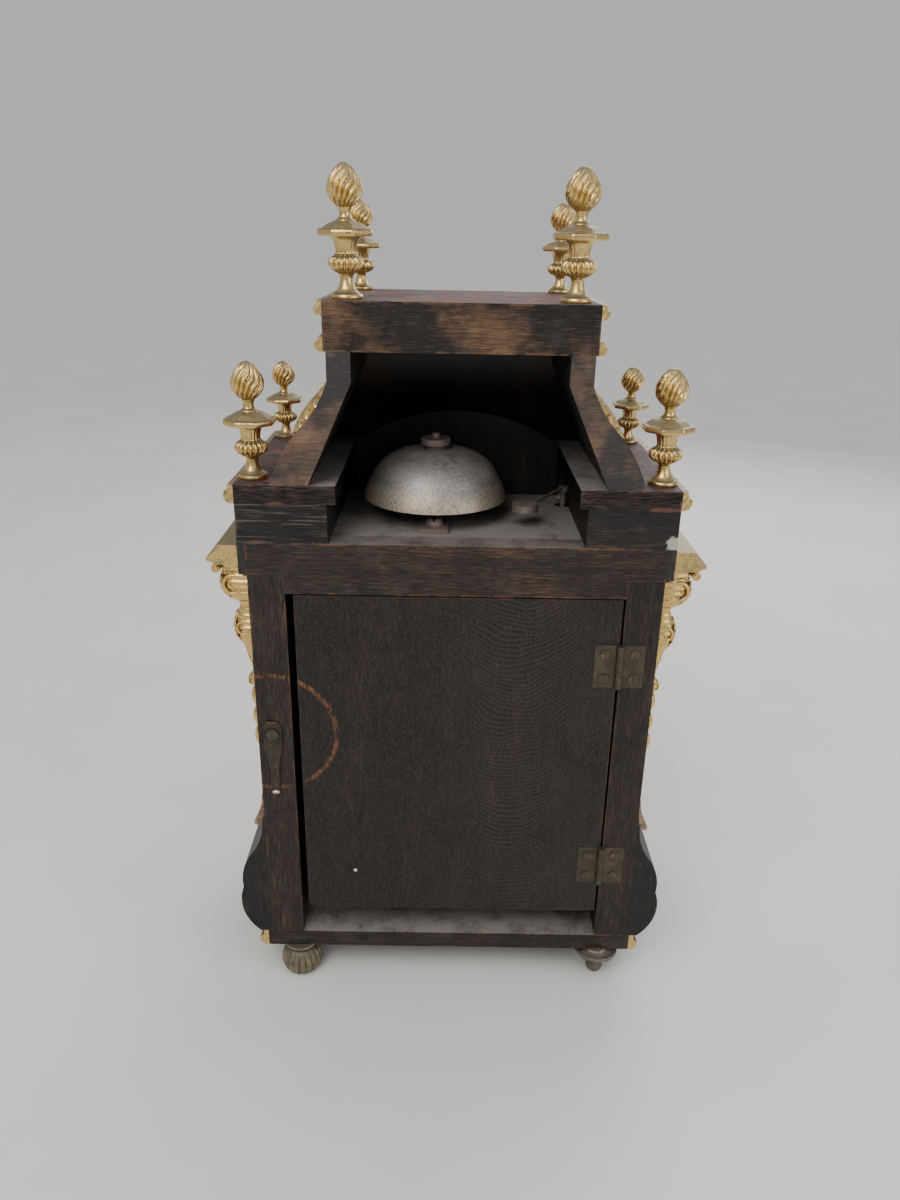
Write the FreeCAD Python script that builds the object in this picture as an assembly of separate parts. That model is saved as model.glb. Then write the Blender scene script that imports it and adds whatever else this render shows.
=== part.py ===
import FreeCAD
import Part
import math
import os

# A religieuse clock: a bracket clock with its bell in the open roof.
# Millimetres, +Z up. The dial faces -Y and the back door faces +Y.
# The origin lies on the floor, under the middle of the whole clock.

# Fits between pieces
running_clearance = 0.05
moving_clearance = 0.4
cut_overrun = 1.0

# Case
case_width = 260.0
case_depth = 140.0
case_height = 300.5
base_thickness = 13.0
base_side_overhang = 3.0
front_overhang = 16.0
stile_width = 23.0
stile_depth = 18.0
rail_height = 33.0
rail_lap_height = 20.5
side_thickness = 10.0
top_board_thickness = 10.0
fascia_thickness = 5.0

# Bombe blocks at the foot of the sides: outward reach, height, bulge of each stretch
bombe_height = 110.0
bombe_reach = 18.5
bombe_shares = [
    (0.0, 0.0, 0.0),
    (0.45, 0.0, 0.0),
    (1.0, 0.36, -0.16),
    (0.60, 0.62, -0.10),
    (0.10, 0.87, 0.08),
    (0.0, 1.0, 0.04),
]

# Frieze, ledge and roof
frieze_height = 25.0
frieze_overhang = 4.7
frieze_width = 55.7
front_frieze_depth = 28.0
ledge_height = 11.5
ledge_inner_lip = 5.5
roof_height = 78.0
roof_neck_height = 17.0
roof_run = 35.8
roof_inset = 22.4
roof_front_inset = 8.0
roof_top_thickness = 14.0
roof_foot_thickness = 22.5
roof_front_thickness = 8.0
roof_bend_run_share = 0.5
roof_bend_height_share = 0.54
roof_bulge_share = 0.06
arch_board_thickness = 6.0
arch_rise = 24.0
crown_height = 27.5
crown_overhang = 1.5

# Gilt leaves lying on the roof sides
roof_leaf_width = 26.0
roof_leaf_thickness = 3.0
roof_leaf_setback = 62.0

# Finials: radius over the flange, height, and the turned outline as shares of both
rear_finial_radius = 15.2
rear_finial_height = 70.0
front_finial_radius = 11.9
front_finial_height = 54.5
finial_peg_radius = 2.5
finial_peg_length = 8.0
finial_flange_sides = 8
finial_foot_shares = [
    (0.0, 0.0, 0.0),
    (0.56, 0.0, 0.0),
    (0.56, 0.04, -0.3),
    (0.47, 0.06, 0.0),
    (0.22, 0.14, 0.2),
    (0.30, 0.165, 0.0),
    (0.40, 0.322, -0.37),
    (0.38, 0.345, 0.0),
    (0.54, 0.45, 0.12),
    (0.0, 0.45, 0.0),
]
finial_flange_low_share = 0.45
finial_flange_high_share = 0.50
finial_roof_high_share = 0.58
finial_roof_radius_share = 0.34
finial_flame_shares = [
    (0.0, 0.58, 0.0),
    (0.29, 0.58, 0.0),
    (0.21, 0.605, 0.0),
    (0.23, 0.675, 0.1),
    (0.62, 0.835, -0.16),
    (0.34, 0.955, -0.14),
    (0.0, 1.0, -0.16),
]
lower_finial_side_inset = 9.0
lower_finial_end_inset = 18.0
upper_finial_side_inset = 13.2
upper_finial_end_inset = 13.0

# Feet: the bun feet, and the one turned foot at the rear under the hinges
foot_height = 26.0
foot_radius = 15.2
foot_side_inset = 22.6
rear_foot_inset = 7.5
front_foot_inset = 17.0
bun_foot_shares = [
    (0.0, 0.0, 0.0),
    (0.62, 0.0, 0.0),
    (1.0, 0.42, -0.15),
    (0.66, 0.80, -0.16),
    (0.52, 0.86, 0.2),
    (0.80, 0.93, 0.0),
    (0.80, 1.0, -0.3),
    (0.0, 1.0, 0.0),
]
turned_foot_radius = 16.1
turned_foot_shares = [
    (0.0, 0.0, 0.0),
    (0.20, 0.0, 0.0),
    (0.36, 0.20, -0.3),
    (0.24, 0.40, -0.3),
    (0.42, 0.50, 0.1),
    (0.94, 0.66, 0.12),
    (1.0, 0.72, -0.12),
    (1.0, 0.88, 0.0),
    (0.80, 1.0, -0.15),
    (0.0, 1.0, 0.0),
]

# Scroll consoles on the sides and the cornice slabs that they carry
cornice_drop = 1.5
cornice_height = 13.0
cornice_reach = 19.5
cornice_shares = [
    (0.0, 0.0, 0.0),
    (0.78, 0.0, 0.0),
    (0.92, 0.16, 0.2),
    (1.0, 0.34, -0.25),
    (0.62, 1.0, 0.08),
    (0.0, 1.0, 0.0),
]
console_width = 24.0
console_height = 83.0
console_reach = 20.5
console_end_inset = 3.0
console_shares = [
    (0.0, 0.0, 0.0),
    (0.20, 0.0, 0.0),
    (0.37, 0.055, -0.3),
    (0.14, 0.125, -0.2),
    (0.17, 0.20, 0.0),
    (0.34, 0.31, 0.05),
    (0.60, 0.505, -0.16),
    (0.50, 0.61, -0.14),
    (0.41, 0.67, 0.2),
    (0.78, 0.735, -0.12),
    (0.92, 0.86, -0.12),
    (0.82, 0.915, 0.2),
    (1.0, 0.955, -0.2),
    (1.0, 1.0, 0.0),
    (0.0, 1.0, 0.0),
]
husk_gap = 39.0
husk_width = 9.0
husk_thickness = 3.0
husk_count = 3

# Gilt mouldings round the base, the ledge and the crown
mitred_corners = 1
moulding_reach = 6.0
crown_moulding_height = 8.0
crown_moulding_reach = 4.5
moulding_shares = [
    (0.0, 0.0, 0.0),
    (0.55, 0.0, 0.0),
    (1.0, 0.36, -0.10),
    (1.0, 0.58, 0.0),
    (0.55, 0.82, 0.22),
    (0.55, 1.0, 0.0),
    (0.0, 1.0, 0.0),
]

# Back door, its hinges and its latch
door_thickness = 12.0
door_foot_rise = 22.5
door_top_gap = 1.0
door_hinge_gap = 1.6
door_latch_gap = 5.0
door_corner_radius = 6.0
hinge_height = 30.4
hinge_leaf_width = 16.2
hinge_leaf_thickness = 1.6
hinge_leaf_proud = 0.4
hinge_knuckle_radius = 2.4
hinge_pin_radius = 1.2
hinge_pin_setback = 1.4
hinge_knuckle_gap = 0.3
knuckle_count = 3
upper_hinge_drop = 46.0
lower_hinge_rise = 41.0
hinge_screw_spread = 17.0
hinge_screw_reach = 9.6
screw_shank_radius = 1.3
screw_shank_length = 8.0
screw_head_radius = 3.1
screw_head_thickness = 0.8
screw_slot_width = 0.7
screw_slot_depth = 0.4
latch_edge_inset = 9.8
latch_drop = 99.2
latch_head_rise = 9.0
latch_head_width = 12.3
latch_tail_width = 6.5
latch_tail_length = 46.7
latch_thickness = 1.6
latch_shoulder_share = 0.55
latch_tip_bulge_share = 0.4
latch_screw_radius = 1.8
latch_screw_head_radius = 4.0
latch_screw_head_thickness = 1.5
latch_screw_length = 10.0

# Bell, its stand and its nut
bell_x = 14.6
bell_setback = 70.0
bell_lift = 13.0
bell_radius = 47.8
bell_height = 32.0
bell_wall = 2.2
bell_shares = [
    (1.0, 0.0, 0.0),
    (0.89, 0.41, -0.05),
    (0.62, 0.86, -0.09),
    (0.30, 1.0, -0.05),
]
bell_post_radius = 2.6
bell_collar_radius = 7.0
bell_nut_radius = 9.7
bell_nut_thickness = 4.0
bell_washer_radius = 6.5
bell_washer_thickness = 3.0
bell_post_top_length = 3.0
stand_strap_width = 18.0
stand_strap_thickness = 3.0
stand_strap_reach = 46.0
stand_screw_reach = 34.0
stand_screw_radius = 2.5
stand_screw_head_radius = 6.0
stand_screw_head_height = 4.5
stand_screw_length = 8.0
stand_slot_width = 1.3
stand_slot_depth = 1.6

# Striking hammer
hammer_x = -75.4
hammer_setback = 95.6
hammer_arbor_radius = 2.0
hammer_hole_radius = 5.5
hammer_arbor_rise = 10.0
hammer_knob_radius = 3.6
hammer_knob_height = 3.5
hammer_foot_drop = 75.5
hammer_arm_angle = 59.0
hammer_arm_length = 60.0
hammer_arm_radius = 1.0
hammer_arm_rise = 13.0
hammer_head_radius = 8.5
hammer_head_thickness = 5.0
hammer_strike_gap = 0.5
hammer_lift_angle = 15.0
stop_radius = 2.4
stop_length = 7.0
stop_setback = 105.0

# Front door
front_door_thickness = 12.0
front_door_gap = 0.6
front_door_side_inset = 2.0
glass_half_width = 92.0
glass_foot_rise = 34.0
glass_thickness = 2.0
rebate_depth = 4.0
rebate_margin = 5.0
bezel_width = 6.0
bezel_thickness = 2.5
pivot_pin_radius = 2.0
pivot_pin_length = 6.0

# Dial and hands
dial_centre_drop = 124.5
dial_recess = 18.0
dial_plate_thickness = 2.0
batten_width = 12.0
batten_depth = 12.0
chapter_outer_radius = 84.0
chapter_width = 26.0
chapter_thickness = 1.2
plaque_radius = 9.0
plaque_thickness = 1.0
hour_count = 12
hour_hand_length = 46.0
minute_hand_length = 70.0
hand_width = 9.0
hand_thickness = 1.2
hour_boss_radius = 6.0
minute_boss_radius = 4.2
hour_hand_lift = 5.0
minute_hand_lift = 8.0
hour_hand_angle = 305.0
minute_hand_angle = 60.0
hand_shares = [
    (0.5, -0.18, 0.0),
    (0.22, 0.05, 0.0),
    (0.16, 0.30, 0.0),
    (0.55, 0.50, 0.15),
    (0.16, 0.72, 0.15),
    (0.0, 1.0, 0.0),
    (-0.16, 0.72, 0.0),
    (-0.55, 0.50, 0.15),
    (-0.16, 0.30, 0.15),
    (-0.22, 0.05, 0.0),
    (-0.5, -0.18, 0.0),
]

# Movement plates
plate_half_width = 82.0
plate_drop = 62.0
plate_rise = 80.0
plate_thickness = 2.5
plate_gap = 45.0
motion_gap = 18.0
pillar_radius = 4.0
pillar_inset = 7.0
upper_pillar_inset = 18.0
pivot_radius = 1.5

# Toothed wheels
tooth_tip_share = 0.85
tooth_root_share = 1.2
tooth_thin_share = 0.24
pressure_angle = 20.0
flank_shares = (0.0, 0.5, 1.0)
wheel_arms = 4
arm_width = 4.0
rim_width = 4.0
hub_radius = 5.0
wheel_thickness = 2.0
pinion_length = 5.0
great_teeth = 84
great_pinion_teeth = 14
great_module = 0.9
great_thickness = 3.0
barrel_angle = -25.0
centre_teeth = 72
third_pinion_teeth = 12
centre_module = 0.7
third_angle = 110.0
third_teeth = 60
escape_pinion_teeth = 12
third_module = 0.65
escape_teeth = 30
escape_radius = 13.0
escape_depth = 2.6
cannon_teeth = 20
minute_teeth = 60
minute_module = 0.6
minute_pinion_teeth = 15
hour_teeth = 60
hour_module = 0.64
minute_wheel_angle = 20.0
pin_teeth = 60
fly_pinion_teeth = 12
pin_module = 0.78
pin_wheel_angle = 118.0
fly_angle = 80.0
lift_pin_count = 8
lift_pin_radius = 1.0
lift_pin_length = 3.0
lift_pin_circle = 17.5
fly_vane_reach = 9.0
fly_vane_length = 16.0
fly_vane_thickness = 0.8

# Places of the wheels along their arbors, from the front plate towards the back plate
centre_wheel_place = 3.0
third_pinion_place = 1.5
drum_place = 9.0
great_place = 34.0
great_pinion_place = 33.0
strike_great_place = 28.5
pin_pinion_place = 27.5
third_wheel_place = 20.0
escape_pinion_place = 18.5
escape_wheel_place = 39.0
fly_vane_place = 12.0

# Places of the motion work, from the front plate towards the dial
cannon_place = 2.0
minute_pinion_place = 6.5
motion_thickness = 2.5

# Barrels and winding arbors
drum_radius = 29.0
winding_arbor_radius = 3.2
winding_square_side = 4.0
winding_square_length = 4.0

# Centre arbor and hour pipe
centre_arbor_radius = 1.8
hour_pipe_radius = 3.6
hour_pipe_bore = 2.4

# Escapement and pendulum
pallet_rise = 22.0
pallet_half_span = 11.0
pallet_thickness = 3.0
pallet_drop = 7.5
anchor_depth = 4.5
crutch_length = 60.0
crutch_width = 4.0
crutch_thickness = 1.5
crutch_lift = 3.0
fork_width = 12.0
fork_height = 3.0
cock_lift = 22.0
cock_arm_width = 9.0
cock_thickness = 3.0
cock_rise = 8.0
cock_pin_radius = 1.5
pendulum_lift = 15.0
bob_floor_gap = 35.8
pendulum_rod_radius = 1.5
pendulum_eye_radius = 4.0
pendulum_eye_thickness = 2.5
bob_radius = 21.0
bob_thickness = 9.0
hammer_cock_width = 10.0
hammer_cock_thickness = 3.0

# Small shares of the ornament and the escapement
leaf_low_share = 0.26
leaf_high_share = 0.74
leaf_bulge_share = 0.16
corner_turn_share = 0.5
husk_crest_share = 0.55
husk_bulge_share = 0.12
husk_dip_share = 0.4
husk_lap_share = 0.03
latch_crown_share = 0.24
half_round_share = 0.5
escape_lean_share = 0.55
escape_tip_share = 0.68
fork_reach_share = 1.5
bob_bulge_share = 0.06
anchor_bulge_share = 0.1

# Levels and faces that follow from the sizes above
base_top = foot_height + base_thickness
case_top = base_top + case_height
stile_top = case_top - rail_lap_height
rail_bottom = case_top - rail_height
frieze_top = case_top + frieze_height
ledge_top = frieze_top + ledge_height
roof_top = ledge_top + roof_height
crown_top = roof_top + crown_height
half_case = case_width / 2
inner_half = half_case - side_thickness
stile_inner = half_case - stile_width
rear_projection = max(hinge_pin_setback + hinge_knuckle_radius, turned_foot_radius - rear_foot_inset)
front_projection = front_overhang + moulding_reach
rear_face = (case_depth + front_projection - rear_projection) / 2
front_edge = rear_face - case_depth
ledge_front = front_edge - front_overhang
base_half = half_case + base_side_overhang
frieze_half = half_case + frieze_overhang
frieze_inner = frieze_half - frieze_width
ledge_inner = frieze_inner - ledge_inner_lip
roof_foot = frieze_half - roof_inset
roof_front = ledge_front + roof_front_inset
crown_half = roof_foot - roof_run + crown_overhang
crown_front = roof_front + roof_run - crown_overhang
arch_back = ledge_front + front_frieze_depth + arch_board_thickness
door_top = rail_bottom - door_top_gap
door_bottom = base_top + door_foot_rise
hinge_x = -stile_inner + door_hinge_gap / 2
hinge_y = rear_face + hinge_pin_setback
hinge_centres = (door_top - upper_hinge_drop, door_bottom + lower_hinge_rise)
latch_x = half_case - latch_edge_inset
latch_z = door_top - latch_drop
bell_y = rear_face - bell_setback
bell_rim = case_top + bell_lift
bell_crown = bell_rim + bell_height
hammer_y = rear_face - hammer_setback
hammer_foot_height = case_top - hammer_foot_drop
cornice_top = case_top - cornice_drop
cornice_low = cornice_top - cornice_height
console_low = cornice_low - console_height
husk_length = console_low - base_top - bombe_height - husk_gap
front_door_back = front_edge - front_door_gap
front_door_front = front_door_back - front_door_thickness
front_door_half = half_case - front_door_side_inset
front_door_low = base_top + front_door_gap
front_door_high = case_top - front_door_gap
pivot_x = -front_door_half + front_door_thickness / 2
pivot_y = front_door_back - front_door_thickness / 2
dial_centre_height = case_top - dial_centre_drop
chapter_inner_radius = chapter_outer_radius - chapter_width
dial_front = front_edge + dial_recess
dial_back = dial_front + dial_plate_thickness
front_plate_front = dial_back + motion_gap
front_plate_back = front_plate_front + plate_thickness
back_plate_front = front_plate_back + plate_gap
back_plate_back = back_plate_front + plate_thickness
up = FreeCAD.Vector(0, 0, 1)
back = FreeCAD.Vector(0, 1, 0)
aside = FreeCAD.Vector(1, 0, 0)


def point(x, y, z):
    return FreeCAD.Vector(x, y, z)


def box(low, high):
    """A block between two opposite corners."""
    return Part.makeBox(high[0] - low[0], high[1] - low[1], high[2] - low[2], point(*low))


def rod(radius, start, end):
    """A round bar between two points."""
    axis = end - start
    return Part.makeCylinder(radius, axis.Length, start, axis)


def both_sides(shape):
    """The piece and its twin on the other side of the clock."""
    return [shape, shape.mirror(point(0, 0, 0), aside)]


def outline(points, place):
    """A closed wire through points (u, v, bulge); the bulge bends the stretch that ends at its point."""
    edges = []
    for index, (u, v, bulge) in enumerate(points):
        u_from, v_from, _ = points[index - 1]
        start = place(u_from, v_from)
        end = place(u, v)
        if bulge:
            u_mid = (u_from + u) / 2 - (v - v_from) * bulge
            v_mid = (v_from + v) / 2 + (u - u_from) * bulge
            edges.append(Part.Arc(start, place(u_mid, v_mid), end).toShape())
        else:
            edges.append(Part.LineSegment(start, end).toShape())
    return Part.Wire(edges)


def sized(shares, width, height):
    """Outline points from shares of a width and a height."""
    return [(u * width, v * height, bulge) for u, v, bulge in shares]


def prism(points, place, sweep):
    """A flat outline pushed along a vector."""
    return Part.Face(outline(points, place)).extrude(sweep)


def turned(points):
    """An outline of (radius, height) turned round the vertical axis."""
    wire = outline(points, lambda radius, height: point(radius, 0, height))
    edges = []
    for edge in wire.Edges:
        if isinstance(edge.Curve, Part.Circle):
            edge = edge.Curve.toBSpline(edge.FirstParameter, edge.LastParameter).toShape()
        edges.append(edge)
    return Part.Face(Part.Wire(edges)).revolve(point(0, 0, 0), up, 360)


def joined(first, others):
    """Pieces of one casting or turning made into one solid."""
    return first.fuse(others).removeSplitter().Solids[0]


def slotted_screw(radius, length, head_radius, head_thickness, slot_width, slot_depth):
    """A screw pointing along -Y whose head seats at y = 0, with its slot upright."""
    screw = rod(radius, point(0, -length, 0), point(0, 0, 0))
    screw = screw.fuse(rod(head_radius, point(0, 0, 0), point(0, head_thickness, 0)))
    slot = box(
        (-slot_width / 2, head_thickness - slot_depth, -head_radius - cut_overrun),
        (slot_width / 2, head_thickness + cut_overrun, head_radius + cut_overrun),
    )
    return screw.cut(slot)


def save(name, solids):
    """Write one node, a single solid or a group of separate ones."""
    shape = solids[0] if len(solids) == 1 else Part.makeCompound(solids)
    shape.exportStep("parts/" + name + ".step")


def turn_about(shape, angle, x, z):
    """Turn a piece about the axis along Y through (x, z)."""
    turned_shape = shape.copy()
    turned_shape.rotate(point(x, 0, z), back, angle)
    return turned_shape


# Case of wood


def hinge_pocket(centre):
    """What a hinge needs cut from the wood on both sides of its pin."""
    low = centre - hinge_height / 2
    high = centre + hinge_height / 2
    leaves = box(
        (hinge_x - hinge_leaf_width, rear_face + hinge_leaf_proud - hinge_leaf_thickness, low),
        (hinge_x + hinge_leaf_width, rear_face + cut_overrun, high),
    )
    groove = rod(
        hinge_knuckle_radius + moving_clearance,
        point(hinge_x, hinge_y, low),
        point(hinge_x, hinge_y, high),
    )
    return leaves.fuse(groove)


def screw_places(side):
    """The screw places of both hinges, on the case side (-1) or the door side (1)."""
    places = []
    for centre in hinge_centres:
        for offset in (-hinge_screw_spread / 2, hinge_screw_spread / 2):
            places.append((hinge_x + side * hinge_screw_reach, centre + offset))
    return places


def screw_holes(side):
    """Bores for the hinge screws, through the leaf and into the wood."""
    holes = []
    for x, z in screw_places(side):
        start = point(x, rear_face - screw_shank_length, z)
        holes.append(
            rod(screw_shank_radius + running_clearance, start, point(x, rear_face + cut_overrun, z)),
        )
    return holes


def build_carcass():
    """Base, stiles, rail, sides, bombe blocks, top board and fascias."""
    base = box((-base_half, ledge_front, foot_height), (base_half, rear_face, base_top))
    pivot_low = point(pivot_x, pivot_y, base_top - pivot_pin_length)
    base = base.cut(
        rod(
            pivot_pin_radius + running_clearance,
            pivot_low,
            point(pivot_x, pivot_y, base_top + cut_overrun),
        ),
    )
    save("base_board", [base])

    stile = box((stile_inner, rear_face - stile_depth, base_top), (half_case, rear_face, stile_top))
    hinge_stile = stile.mirror(point(0, 0, 0), aside)
    for centre in hinge_centres:
        hinge_stile = hinge_stile.cut(hinge_pocket(centre))
    save("hinge_stile", [hinge_stile.cut(screw_holes(-1))])
    latch_bore = rod(
        latch_screw_radius + running_clearance,
        point(latch_x, rear_face - latch_screw_length, latch_z),
        point(latch_x, rear_face + cut_overrun, latch_z),
    )
    save("latch_stile", [stile.cut(latch_bore)])

    rail = box((-half_case, rear_face - stile_depth, stile_top), (half_case, rear_face, case_top))
    lower = box((-stile_inner, rear_face - stile_depth, rail_bottom), (stile_inner, rear_face, stile_top))
    save("back_top_rail", [rail.fuse(lower).removeSplitter()])

    side_top = case_top - top_board_thickness
    side = box((inner_half, front_edge, base_top), (half_case, rear_face - stile_depth, side_top))
    fascia = box((half_case, front_edge, stile_top), (half_case + fascia_thickness, rear_face, case_top))
    save("case_sides", both_sides(side) + both_sides(fascia))

    bombe = prism(
        sized(bombe_shares, bombe_reach, bombe_height),
        lambda u, v: point(half_case + u, front_edge, base_top + v),
        point(0, case_depth, 0),
    )
    save("bombe_blocks", both_sides(bombe))

    board = box((-half_case, front_edge, side_top), (half_case, rear_face - stile_depth, case_top))
    arbor_hole = rod(
        hammer_hole_radius,
        point(hammer_x, hammer_y, side_top - cut_overrun),
        point(hammer_x, hammer_y, case_top + cut_overrun),
    )
    stand_y = bell_y + stand_screw_reach
    stand_hole = rod(
        stand_screw_radius + running_clearance,
        point(bell_x, stand_y, case_top - stand_screw_length),
        point(bell_x, stand_y, case_top + cut_overrun),
    )
    save("top_board", [board.cut(arbor_hole).cut(stand_hole)])


def finial_places():
    """Centres of the lower and upper finials: (x, y, z, is at the rear)."""
    places = []
    for side in (-1, 1):
        lower_x = side * (frieze_half - lower_finial_side_inset)
        places.append((lower_x, rear_face - lower_finial_end_inset, ledge_top, True))
        places.append((lower_x, ledge_front + lower_finial_end_inset, ledge_top, False))
        upper_x = side * (crown_half - upper_finial_side_inset)
        places.append((upper_x, rear_face - upper_finial_end_inset, crown_top, True))
        places.append((upper_x, crown_front + upper_finial_end_inset, crown_top, False))
    return places


def peg_holes():
    """Bores for the pegs under the finials."""
    holes = []
    for x, y, z, _ in finial_places():
        low = point(x, y, z - finial_peg_length)
        holes.append(rod(finial_peg_radius + running_clearance, low, point(x, y, z + cut_overrun)))
    return holes


def roof_face(offset):
    """The curved outer face of the roof as (distance inward, height), moved inward by an offset."""
    neck = roof_height - roof_neck_height
    return [
        (offset, 0, 0.0),
        (roof_run * roof_bend_run_share + offset, neck * roof_bend_height_share, roof_bulge_share),
        (roof_run + offset, neck, -roof_bulge_share),
        (roof_run + offset, roof_height, 0.0),
    ]


def roof_sheet(offset, thickness):
    """Section of an evenly thick sheet that follows the roof's outer face."""
    outer = roof_face(offset)
    inner = roof_face(offset + thickness)
    back_way = [inner[-1]]
    for index in range(len(inner) - 2, -1, -1):
        u, v, _ = inner[index]
        back_way.append((u, v, -inner[index + 1][2]))
    return outer + back_way


def roof_bracket():
    """Section of a side panel, whose inner face runs straight from foot to neck."""
    deep = roof_run + roof_top_thickness
    neck = roof_height - roof_neck_height
    return roof_face(0) + [(deep, roof_height, 0.0), (deep, neck, 0.0), (roof_foot_thickness, 0, 0.0)]


def build_roof():
    """Frieze, ledge, roof panels, arched board, crown and the leaves on the roof."""
    pivot_bore = rod(
        pivot_pin_radius + running_clearance,
        point(pivot_x, pivot_y, case_top - cut_overrun),
        point(pivot_x, pivot_y, case_top + pivot_pin_length),
    )
    frieze = box((frieze_inner, ledge_front, case_top), (frieze_half, rear_face, frieze_top))
    front_back = ledge_front + front_frieze_depth
    front_frieze = box((-frieze_inner, ledge_front, case_top), (frieze_inner, front_back, frieze_top))
    left_frieze, right_frieze = both_sides(frieze)
    save("frieze_blocks", [left_frieze, right_frieze.cut(pivot_bore), front_frieze])

    ledge = box((ledge_inner, ledge_front, frieze_top), (frieze_half, rear_face, ledge_top))
    front_ledge = box((-ledge_inner, ledge_front, frieze_top), (ledge_inner, front_back, ledge_top))
    ledges = [piece.cut(peg_holes()) for piece in both_sides(ledge)]
    save("ledge_boards", ledges + [front_ledge])

    side = prism(
        roof_bracket(),
        lambda u, v: point(roof_foot - u, roof_front, ledge_top + v),
        point(0, rear_face - roof_front, 0),
    )
    front = prism(
        roof_sheet(0, roof_front_thickness),
        lambda u, v: point(-roof_foot, roof_front + u, ledge_top + v),
        point(2 * roof_foot, 0, 0),
    )
    depth = roof_run + roof_top_thickness
    mitre = [
        (-roof_foot, roof_front, 0.0),
        (roof_foot, roof_front, 0.0),
        (roof_foot - depth, roof_front + depth, 0.0),
        (-roof_foot + depth, roof_front + depth, 0.0),
    ]
    wedge = prism(mitre, lambda u, v: point(u, v, ledge_top), point(0, 0, roof_height))
    save("roof_panels", both_sides(side.cut(wedge)) + [front.common(wedge)])

    leaf_y = rear_face - roof_leaf_setback
    leaf = prism(
        roof_sheet(-roof_leaf_thickness, roof_leaf_thickness),
        lambda u, v: point(roof_foot - u, leaf_y - roof_leaf_width / 2, ledge_top + v),
        point(0, roof_leaf_width, 0),
    )
    low = ledge_top + roof_height * leaf_low_share
    high = ledge_top + roof_height * leaf_high_share
    middle = (low + high) / 2
    half = roof_leaf_width / 2
    petal = [
        (leaf_y - half, middle, leaf_bulge_share),
        (leaf_y, high, leaf_bulge_share),
        (leaf_y + half, middle, leaf_bulge_share),
        (leaf_y, low, leaf_bulge_share),
    ]
    shape = prism(petal, lambda u, v: point(0, u, v), point(frieze_half, 0, 0))
    save("roof_leaves", both_sides(leaf.common(shape)))

    spring = ledge_top
    arch = [
        (-ledge_inner, case_top, 0.0),
        (ledge_inner, case_top, 0.0),
        (ledge_inner, spring, 0.0),
        (-ledge_inner, spring, -arch_rise / (2 * ledge_inner)),
    ]
    board = prism(
        arch,
        lambda u, v: point(u, arch_back - arch_board_thickness, v),
        point(0, arch_board_thickness, 0),
    )
    save("arch_board", [board])

    crown = box((-crown_half, crown_front, roof_top), (crown_half, rear_face, crown_top))
    save("crown", [crown.cut(peg_holes())])


# Gilt work and feet


def finial(radius, height):
    """A flame finial on its peg, standing at the origin: turned foot, eight-sided flange, flame."""
    flange_low = height * finial_flange_low_share
    flange_high = height * finial_flange_high_share
    roof_high = height * finial_roof_high_share
    body = turned(sized(finial_foot_shares, radius, height))
    flame = turned(sized(finial_flame_shares, radius, height))

    def ring(ring_radius, z):
        step = 2 * math.pi / finial_flange_sides
        corners = []
        for side in range(finial_flange_sides):
            angle = (side + corner_turn_share) * step
            corners.append(point(ring_radius * math.cos(angle), ring_radius * math.sin(angle), z))
        return Part.makePolygon(corners + corners[:1])

    flange = Part.makeLoft([ring(radius, flange_low), ring(radius, flange_high)], True, True)
    roof = Part.makeLoft(
        [ring(radius, flange_high), ring(radius * finial_roof_radius_share, roof_high)], True, True
    )
    peg = rod(finial_peg_radius, point(0, 0, -finial_peg_length), point(0, 0, 0))
    return joined(body, [flange, roof, flame, peg])


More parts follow.
